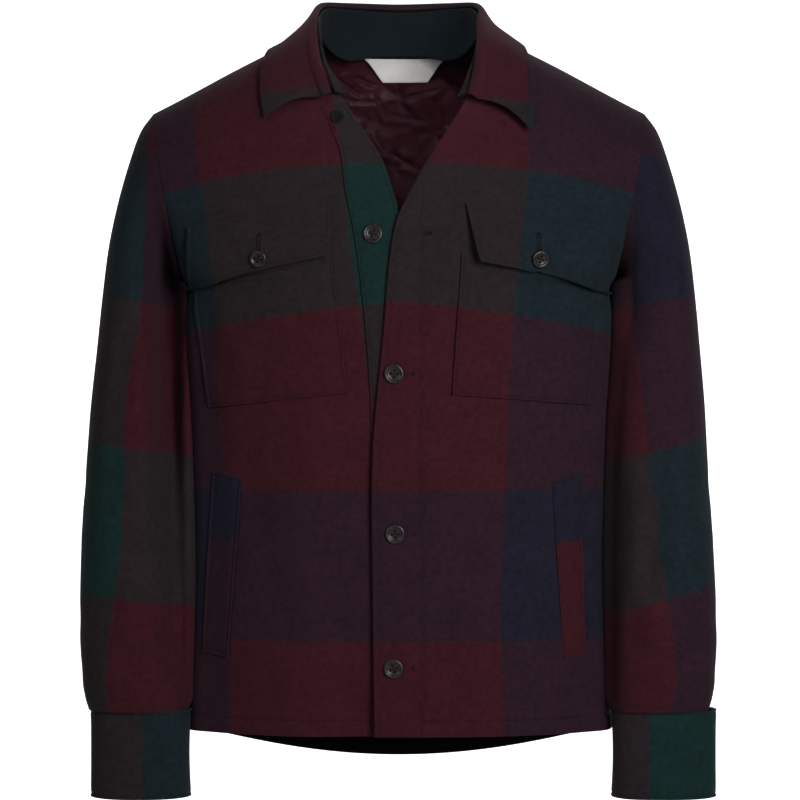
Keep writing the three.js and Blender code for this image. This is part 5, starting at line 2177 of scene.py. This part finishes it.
@dataclass
class Collar:
    """The collar's stand and leaf."""

    shop: Workshop
    roll: float = 5.5
    stand_bow: float = 0.6
    seam_depth: float = 2.6
    stand_wall: float = 2.4
    leaf_wall: float = 2.2
    below_roll: float = 2.3
    leaf_clear: float = 4.0
    sections: int = 132
    fall_rows: int = 22
    roll_rows: int = 9

    STATIONS = {
        Side.LEFT: (
            Station((70, -107, -78), 131, -118, Facing.FRONT, 11, -84),
            Station((74, -96, -62), 134, -90, Facing.FRONT, 7, -70),
            Station((77, -78, -40), 134, -62, Facing.FRONT, 5, -50),
            Station((79, -52, -16), 131, -42, Facing.FRONT, 4.5, -28),
            Station((80, -20, 8), 126, -20, Facing.FRONT, 4.5, -10),
        ),
        Side.RIGHT: (
            Station((71, -105, -77), 134, -103, Facing.FRONT, 5, -80),
            Station((76, -95, -62), 138, -82, Facing.FRONT, 5, -68),
            Station((81, -78, -40), 139, -60, Facing.FRONT, 4.5, -50),
            Station((84, -52, -16), 137, -42, Facing.FRONT, 4.5, -28),
            Station((84, -20, 8), 132, -20, Facing.FRONT, 4.5, -10),
        ),
    }
    BACK = (
        Station((83, 12, 22), 124, -36, Facing.BACK, 4.5, 87),
        Station((81, 27, 28), 113, -37, Facing.BACK, 4.5, 81),
        Station((76, 40, 32), 98, -38, Facing.BACK, 4.5, 72),
        Station((44, 64, 34), 52, -38, Facing.BACK, 4.5, 40),
        Station((0, 71, 33), 0, -38, Facing.BACK, 4.5, 0),
    )

    @staticmethod
    def _neck_edge(station: Station, side: Side) -> tuple[Array, Array]:
        """Where the neckline's edge is, and which way leads off the cloth towards the neck.

        Args:
            station: The section.
            side: Which front or side.

        Returns:
            The point and the direction.
        """
        if station.facing is Facing.FRONT:
            x = FRONT_EDGE[side].at("x", station.neck)
            back = FORM.at(x + 4, station.neck - 3, Facing.FRONT)
            at = FORM.at(x, station.neck, Facing.FRONT)
        else:
            s = station.neck / FORM.shoulder[0]
            at = FORM.point(s, 1.0, Facing.BACK)
            back = FORM.point(s, 0.93, Facing.BACK)
        return at, unit(at - back)

    def _station_points(self, station: Station, side: Side) -> Array:
        """The base, fold and leaf points of a station.

        Args:
            station: The section.
            side: Which front or side.

        Returns:
            The three points.
        """
        at, off = self._neck_edge(station, side)
        fold = np.asarray(station.fold, float)
        x, z = station.leaf_x, station.leaf_z
        under = FORM.at(x, z, station.facing)
        lower = FORM.at(x, z - 4, station.facing)
        across = FORM.at(x + 4, z - 2, station.facing)
        out = unit(np.cross(across - under, under - lower))
        out = out * (np.sign(out[1] * station.facing.value) or 1.0)
        leaf = under + out * station.lift
        lean = float(unit(fold - at) @ off)
        beside = self.stand_wall / 2 * math.sqrt(1 - lean * lean)
        inward = unit(np.array([-at[0], -20.0 - at[1], 0.0]))
        base = at + off * (0.7 + beside) + inward * 2.8
        return side.sided(np.stack([base, fold, leaf]))

    @staticmethod
    def _spline(points: Array, t: Array) -> Array:
        """A smooth line through points, even in their number.

        Args:
            points: The points.
            t: Shares along the line.

        Returns:
            Points on the line.
        """
        ends = np.concatenate([[2 * points[0] - points[1]], points, [2 * points[-1] - points[-2]]])
        spot = t * (len(points) - 1)
        k = np.minimum(spot.astype(int), len(points) - 2)
        w = (spot - k)[:, None]
        p0, p1, p2, p3 = (ends[k + n] for n in range(4))
        d0, d1, d2 = (
            np.maximum(np.sum((b - a) ** 2, axis=1, keepdims=True) ** 0.25, 1e-4)
            for a, b in ((p0, p1), (p1, p2), (p2, p3))
        )
        t1 = ((p1 - p0) / d0 - (p2 - p0) / (d0 + d1) + (p2 - p1) / d1) * d1
        t2 = ((p2 - p1) / d1 - (p3 - p1) / (d1 + d2) + (p3 - p2) / d2) * d1
        c2, c3 = -3 * p1 + 3 * p2 - 2 * t1 - t2, 2 * p1 - 2 * p2 + t1 + t2
        return p1 + t1 * w + c2 * w ** 2 + c3 * w ** 3

    def _sections(self) -> dict[str, Array]:
        """Sections of the collar from the wearer's right end round the back to the left end.

        Returns:
            Points and directions of every section.
        """
        right = [self._station_points(s, Side.RIGHT) for s in (*self.STATIONS[Side.RIGHT], *self.BACK)]
        left = [self._station_points(s, Side.LEFT) for s in (*self.STATIONS[Side.LEFT], *self.BACK)]
        stations = np.stack([*right, *left[::-1][1:]])
        t = np.linspace(0.0, 1.0, self.sections)
        middle = 0.5 - 13.0 / 1400.0
        t = np.sort(np.concatenate([t, [middle - 0.0005, middle + 0.0005]]))
        base, fold, leaf = (self._spline(stations[:, n], t) for n in range(3))
        up = unit(fold - base)
        out = leaf - fold
        out = unit(out - up * np.sum(out * up, axis=1, keepdims=True))
        return {"t": t, "base": base, "fold": fold, "leaf": leaf, "up": up, "out": out}

    def stand(self) -> bpy.types.Object:
        """The stand, from the neck seam up to just under the roll.

        Returns:
            The object.
        """
        c = self._sections()
        u = np.linspace(0.0, 1.0, 14)
        top = c["fold"] - c["up"] * (self.roll + self.below_roll)
        bow = self.stand_bow * np.sin(u * math.pi)
        beside = bell((np.abs(c["base"][:, :1]) - 62.0) / 24.0) * (c["base"][:, 1:2] > 0)
        base = c["base"] - c["up"] * (self.seam_depth + 10.0 * beside) - c["out"] * (1.6 + 2.0 * beside)
        middle = mix(base[:, None], top[:, None], u[None, :, None]) + c["out"][:, None] * bow[None, :, None]
        turned = middle.transpose(1, 0, 2)
        out = np.broadcast_to(c["out"][None], turned.shape)
        grid = turned - out * (self.stand_wall / 2)
        grid = grid[:, ::-1]
        bands = self._inside_bands(grid)
        under = ("back_cloth",)
        cloth = Cloth("stand_cloth", grid, bands, self.stand_wall, held="stretched", rests_on=under)
        # The stand is made in the darkened copy of the wool: painted shade.
        piece = cloth.build(self.shop.finishes.stand_wool_painted_shade)
        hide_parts("collar_stand")
        return piece

    @staticmethod
    def _inside_bands(grid: Array) -> Array:
        """Args:
            grid: The cloth's points.

        Returns:
            Places in the check.
        """
        y, z = grid[..., 1], grid[..., 2]
        front = smooth((10.0 - y) / 50.0)
        return np.stack([1.5 + 0 * z, 3.9 + (z - 17.6) / 150.0 + 0.9 * front], axis=-1)

    def _kept_clear(self, points: Array) -> Array:
        """Moves points out of the body, at their own x, until they are clear of the cloth below.

        Args:
            points: The points.

        Returns:
            The moved points.
        """
        flat = points.reshape(-1, 3)
        x = np.abs(flat[:, 0])
        level = np.linspace(0.0, 1.0, 81)
        rows = [(FORM.on_row(x[:, None], level[None, :], facing), facing) for facing in Facing]
        every = np.concatenate([found for found, _ in rows], axis=1)
        facing = np.repeat([f.value for _, f in rows], len(level))
        levels = np.tile(level, 2)
        every[..., 0] = flat[:, None, 0]
        nearest = np.argmin(np.linalg.norm(every - flat[:, None], axis=-1), axis=1)
        made = flat.copy()
        for way in Facing:
            pick = facing[nearest] == way.value
            if not pick.any():
                continue
            at = levels[nearest[pick]]
            near = FORM.on_row(x[pick], at, way)
            above = FORM.on_row(x[pick], np.minimum(1, at + 0.02), way)
            up = above - FORM.on_row(x[pick], np.maximum(0, at - 0.02), way)
            out = unit(np.stack([0 * at, way.value * up[:, 2], -way.value * up[:, 1]], axis=-1))
            height = np.sum((flat[pick] - near)[:, 1:] * out[:, 1:], axis=1)
            made[pick] += out * np.maximum(0.0, self.leaf_clear - height)[:, None]
        return made.reshape(points.shape)

    def leaf(self) -> bpy.types.Object:
        """The leaf, rolled over the stand's top and down to its free edge.

        Returns:
            The object.
        """
        c = self._sections()
        u = np.linspace(0.0, 1.0, self.roll_rows)[None, :, None]
        turn = u * math.pi * 0.75
        fold, up, out = c["fold"][:, None], c["up"][:, None], c["out"][:, None]
        roll = fold + up * self.roll * (np.sin(turn) - 1 + 0.15 * u) + out * self.roll * (1 - np.cos(turn))
        start = roll[:, -1:]
        u = np.linspace(0.0, 1.0, self.fall_rows)[1:][None, :, None]
        end = np.abs(c["t"] * 2 - 1)[:, None, None]
        bow = 3.0 * np.sin(u * math.pi)
        rise = 7.0 * smooth((end - 0.9) * 10) * np.sin(u * math.pi)
        fall = mix(start, c["leaf"][:, None], u) + out * bow * 0.4
        fall = fall + np.concatenate([0 * rise, -rise * 0.2, rise + bow * 0.3], axis=-1)
        fall = self._kept_clear(fall)
        middle = np.concatenate([roll, fall], axis=1).transpose(1, 0, 2)
        normals = grid_normals(middle)
        facing = np.sign(np.sum(normals[-1] * c["out"]))
        grid = middle + normals * facing * (self.leaf_wall / 2)
        if facing < 0:
            grid = grid[:, ::-1]
        bands = self._leaf_bands(grid)
        cloth = Cloth("leaf_cloth", grid, bands, self.leaf_wall, held="folded", rests_on=("stand_cloth",))
        # The leaf is made in the slightly darkened copy of the wool: painted shade.
        piece = cloth.build(self.shop.finishes.collar_wool_painted_shade)
        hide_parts("collar_leaf")
        line = mix(grid[-4], grid[-3], 0.4)
        sewn = self.shop.stitches.sew("stitching_collar", [line[2:-2]], self.shop.finishes.thread)
        return piece

    def _leaf_bands(self, grid: Array) -> Array:
        """Args:
            grid: The cloth's points.

        Returns:
            Places in the check.
        """
        x = grid[..., 0]
        columns = np.where(x > 0, 3 + (x - 129.0) / 150.0, 2.5)
        rows = 1 + (mix(-71.6, -84.5, x > 0) - grid[..., 2]) / 150.0
        inside = self._inside_bands(grid)
        back = (np.arange(len(grid)) < self.roll_rows - 3)[:, None] & (grid[..., 1] > 20)
        columns = np.where(back, inside[..., 0], columns)
        rows = np.where(back, 0.5, rows)
        return np.stack([columns, rows], axis=-1)

    def build(self) -> None:
        """Makes the collar's pieces."""
        self.stand()
        self.leaf()


@dataclass(frozen=True)
class ButtonSize:
    """Sizes of a four-hole button."""

    diameter: float
    thick: float
    hole: float
    spread: float


@dataclass
class Buttons:
    """All the buttons, each turned on a lathe profile and sewn on with thread."""

    shop: Workshop
    sides: int = 48

    FRONT = ButtonSize(20.0, 3.0, 1.4, 2.3)
    FLAP = ButtonSize(17.5, 2.8, 1.3, 2.1)
    STAND = ButtonSize(14.0, 2.4, 1.1, 1.8)

    @staticmethod
    def _profile(size: ButtonSize) -> list[tuple[float, float]]:
        """Radius and height of the button's section, from the middle of its face round to its back.

        Args:
            size: The button's sizes.

        Returns:
            The section's points.
        """
        r, h = size.diameter / 2, size.thick
        return [
            (0.0, h * 0.52), (r * 0.22, h * 0.52), (r * 0.5, h * 0.54), (r * 0.6, h * 0.6),
            (r * 0.68, h * 0.86), (r * 0.76, h * 0.99), (r * 0.84, h), (r * 0.92, h * 0.93),
            (r * 0.98, h * 0.72), (r, h * 0.5), (r * 0.97, h * 0.24), (r * 0.9, h * 0.06),
            (r * 0.8, 0.0), (0.0, 0.0),
        ]

    def _disc(self, name: str, size: ButtonSize) -> bpy.types.Mesh:
        """A button's mesh about the origin, facing +Z, in metres.

        Args:
            name: The piece's name.
            size: Its sizes.

        Returns:
            The mesh with its four holes cut.
        """
        sides = self.sides
        profile = self._profile(size)
        places, faces = [], []
        angles = [k / sides * 2 * math.pi for k in range(sides)]
        places.append((0.0, 0.0, profile[0][1]))
        for radius, height in profile[1:-1]:
            places.extend((radius * math.cos(a), radius * math.sin(a), height) for a in angles)
        places.append((0.0, 0.0, 0.0))
        last = len(places) - 1
        rings = len(profile) - 2
        for k in range(sides):
            n = (k + 1) % sides
            faces.append((0, 1 + k, 1 + n))
            for ring in range(rings - 1):
                a, b = 1 + ring * sides, 1 + (ring + 1) * sides
                faces.append((a + k, b + k, b + n, a + n))
            end = 1 + (rings - 1) * sides
            faces.append((end + k, last, end + n))
        mesh = bpy.data.meshes.new(name)
        mesh.from_pydata([tuple(c * METRES for c in p) for p in places], [], faces)
        disc = linked(name, mesh)
        drill = self._drill(size)
        cut = disc.modifiers.new("holes", "BOOLEAN")
        cut.operation = "DIFFERENCE"
        cut.solver = "EXACT"
        cut.object = drill
        made = applied(disc)
        bpy.data.objects.remove(drill)
        return made

    @staticmethod
    def _drill(size: ButtonSize) -> bpy.types.Object:
        """Four round pegs that cut a button's holes.

        Args:
            size: The button's sizes.

        Returns:
            The pegs as one object.
        """
        places, faces = [], []
        sides = 14
        for cx, cy in ((1, 1), (-1, 1), (-1, -1), (1, -1)):
            start = len(places)
            for height in (-1.0, size.thick + 1.0):
                for k in range(sides):
                    angle = k / sides * 2 * math.pi
                    x = cx * size.spread + size.hole * math.cos(angle)
                    y = cy * size.spread + size.hole * math.sin(angle)
                    places.append((x * METRES, y * METRES, height * METRES))
            for k in range(sides):
                n = (k + 1) % sides
                faces.append((start + k, start + n, start + sides + n, start + sides + k))
            faces.append(tuple(start + k for k in reversed(range(sides))))
            faces.append(tuple(start + sides + k for k in range(sides)))
        mesh = bpy.data.meshes.new("drill")
        mesh.from_pydata(places, [], faces)
        return linked("drill", mesh)

    def _sewn(self, size: ButtonSize) -> list[Array]:
        """Paths of the thread that crosses between the holes, about the origin.

        Args:
            size: The button's sizes.

        Returns:
            The paths.
        """
        s, top = size.spread, size.thick * 0.52 + 0.2
        paths = []
        for ax, ay, bx, by in ((1, 1, -1, -1), (-1, 1, 1, -1)):
            for shift in (-0.2, 0.2):
                a = np.array([ax * s + shift, ay * s, -0.2])
                b = np.array([bx * s + shift, by * s, -0.2])
                high = np.array([0.0, 0.0, top + 0.5])
                over = [mix(a, b, 0.25) + high, mix(a, b, 0.75) + high]
                paths.append(np.stack([a, a + high * 0.75, *over, b + high * 0.75, b]))
        return paths

    def place(
        self, node: str, size: ButtonSize, finish: bpy.types.Material, slot: str, turn: float
    ) -> None:
        """Makes a button where its node is.

        Args:
            node: The node that it stands for.
            size: Its sizes.
            finish: Its material.
            slot: Its material slot; not used.
            turn: How far it is turned on its thread, in radians.
        """
        low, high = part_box(node)
        centre = np.array((low + high) / 2) / METRES
        on_top = centre[0] > 0 or node in ("front_button_2", "front_button_3", "front_button_4")
        side = Side.LEFT if on_top else Side.RIGHT
        x = centre[0] * side.value
        _, out = FORM.on_front(np.array(x), np.array(centre[2]), side, np.array(0.0))
        out = side.sided(out)
        first = unit(np.cross(np.array([0.0, 0.0, 1.0]), out))
        second = np.cross(out, first)
        spun = first * math.cos(turn) + second * math.sin(turn)
        frame = np.stack([spun, np.cross(out, spun), out], axis=1)
        seat = centre - out * (size.thick / 2)
        mesh = self._disc(f"{node}_turned", size)
        co = np.zeros(len(mesh.vertices) * 3, np.float32)
        mesh.vertices.foreach_get("co", co)
        placed = (co.reshape(-1, 3) / METRES) @ frame.T + seat
        mesh.vertices.foreach_set("co", (placed * METRES).astype(np.float32).ravel())
        mesh.update()
        piece = finished(f"{node}_turned", mesh, finish)
        mesh.set_sharp_from_angle(angle=math.radians(50))
        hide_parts(node)
        paths = [path @ frame.T + seat for path in self._sewn(size)]
        thread = tube(f"{node}_thread", paths, 0.22, self.shop.finishes.thread)

    def build(self) -> None:
        """Makes every button."""
        finishes = self.shop.finishes
        for k in range(1, 5):
            self.place(f"front_button_{k}", self.FRONT, finishes.button, "button", 0.2 + 0.23 * k)
        for word in ("left", "right"):
            self.place(f"flap_button_{word}", self.FLAP, finishes.button, "button", 0.5)
        self.place("stand_button", self.STAND, finishes.green_button, "wool_green", 0.1)


@dataclass
class Studio:
    """The camera, the pale sweep and the soft lights."""

    distance: float = 3.0
    aim_x: float = 0.00103
    aim_z: float = -0.383
    view_width: float = 0.824
    floor: float = -1.7
    sweep_back: float = 5.0
    sweep_radius: float = 1.0
    sweep_half: float = 6.0
    surroundings: float = 0.08

    LIGHTS = (
        ("key_light", (1.0, -2.1, 0.0), (0.05, 0.0, -0.4), 0.9, 7.5, 75.0),
        ("fill_light", (-1.9, -2.5, 0.7), (0.0, 0.0, -0.4), 1.6, 2.8, 75.0),
        ("back_light", (0.0, 2.0, 1.9), (0.0, 0.0, -0.4), 1.4, 5.0, 75.0),
        ("neck_light", (-0.4, -1.6, 0.9), (0.02, 0.03, -0.06), 0.2, 0.07, 9.0),
    )

    def camera(self) -> None:
        """Makes the camera at the photograph's viewing angle."""
        lens = bpy.data.cameras.new("camera")
        lens.sensor_width = 36.0
        lens.lens = 36.0 * self.distance / self.view_width
        camera = linked("camera", lens)
        camera.location = (self.aim_x, -self.distance, self.aim_z)
        camera.rotation_euler = (math.pi / 2, 0.0, 0.0)
        bpy.context.scene.camera = camera

    def sweep(self) -> None:
        """Makes the floor that curves up into a backdrop."""
        back, radius, half = self.sweep_back, self.sweep_radius, self.sweep_half
        section = [(-half, self.floor), (back - radius, self.floor)]
        section += [
            (back - radius + radius * math.sin(a), self.floor + radius - radius * math.cos(a))
            for a in np.linspace(0.1, math.pi / 2, 16)
        ]
        section.append((back, 5.0))
        places = [(x, y, z) for y, z in section for x in (-half, half)]
        faces = [(2 * k, 2 * k + 1, 2 * k + 3, 2 * k + 2) for k in range(len(section) - 1)]
        mesh = bpy.data.meshes.new("sweep")
        mesh.from_pydata(places, [], faces)
        mesh.shade_smooth()
        paint = bpy.data.materials.new("pale_sweep")
        paint.use_nodes = True
        nodes = Nodes(paint.node_tree)
        shader = nodes.add("ShaderNodeBsdfPrincipled")
        shader.inputs["Base Color"].default_value = (0.9, 0.9, 0.9, 1.0)
        shader.inputs["Roughness"].default_value = 0.9
        shader.inputs["Emission Color"].default_value = (1.0, 1.0, 1.0, 1.0)
        place = nodes.add("ShaderNodeSeparateXYZ")
        nodes.feed(place.inputs[0], nodes.add("ShaderNodeTexCoord").outputs["Object"])
        nodes.feed(shader.inputs["Emission Strength"], nodes.spread(place.outputs[1], 1.8, 2.6, 0.0, 1.0))
        put = nodes.add("ShaderNodeOutputMaterial")
        nodes.feed(put.inputs["Surface"], shader.outputs[0])
        mesh.materials.append(paint)
        floor = linked("sweep", mesh)

    @staticmethod
    def _panel_light(name: str, at: Point, aim: Point, size: float, power: float, spread: float) -> None:
        """Makes a square soft light.

        Args:
            name: Its name.
            at: Where it stands, in metres.
            aim: What it points at.
            size: Its side.
            power: Its power in watts.
            spread: Its spread in degrees.
        """
        light = bpy.data.lights.new(name, "AREA")
        light.shape = "SQUARE"
        light.size = size
        light.energy = power
        light.spread = math.radians(spread)
        lamp = linked(name, light)
        lamp.location = at
        way = np.asarray(at, float) - np.asarray(aim, float)
        flat = math.hypot(way[0], way[1])
        lamp.rotation_euler = (math.atan2(flat, way[2]), 0.0, math.atan2(way[0], -way[1]))

    def lights(self) -> None:
        """Makes the soft lights and the even surroundings."""
        for row in self.LIGHTS:
            self._panel_light(*row)
        world = bpy.data.worlds.new("surroundings")
        world.use_nodes = True
        nodes = Nodes(world.node_tree)
        glow = nodes.add("ShaderNodeBackground")
        glow.inputs["Color"].default_value = (1.0, 1.0, 1.0, 1.0)
        glow.inputs["Strength"].default_value = self.surroundings
        put = nodes.add("ShaderNodeOutputWorld")
        nodes.feed(put.inputs["Surface"], glow.outputs[0])
        bpy.context.scene.world = world
        bpy.context.scene.view_settings.view_transform = "Standard"

    def build(self) -> None:
        """Makes the camera, the sweep and the lights."""
        self.camera()
        self.sweep()
        self.lights()


def main() -> None:
    """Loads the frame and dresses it."""
    logging.basicConfig(level=logging.INFO, format="%(name)s: %(message)s")
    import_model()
    Studio().build()
    shop = Workshop(Finishes.make(), StitchTree())
    Back(shop).build()
    for side in Side:
        Front(side, shop).build()
        Sleeve(side, shop).build()
    Collar(shop).build()
    Buttons(shop).build()


if __name__ == "__main__":
    main()
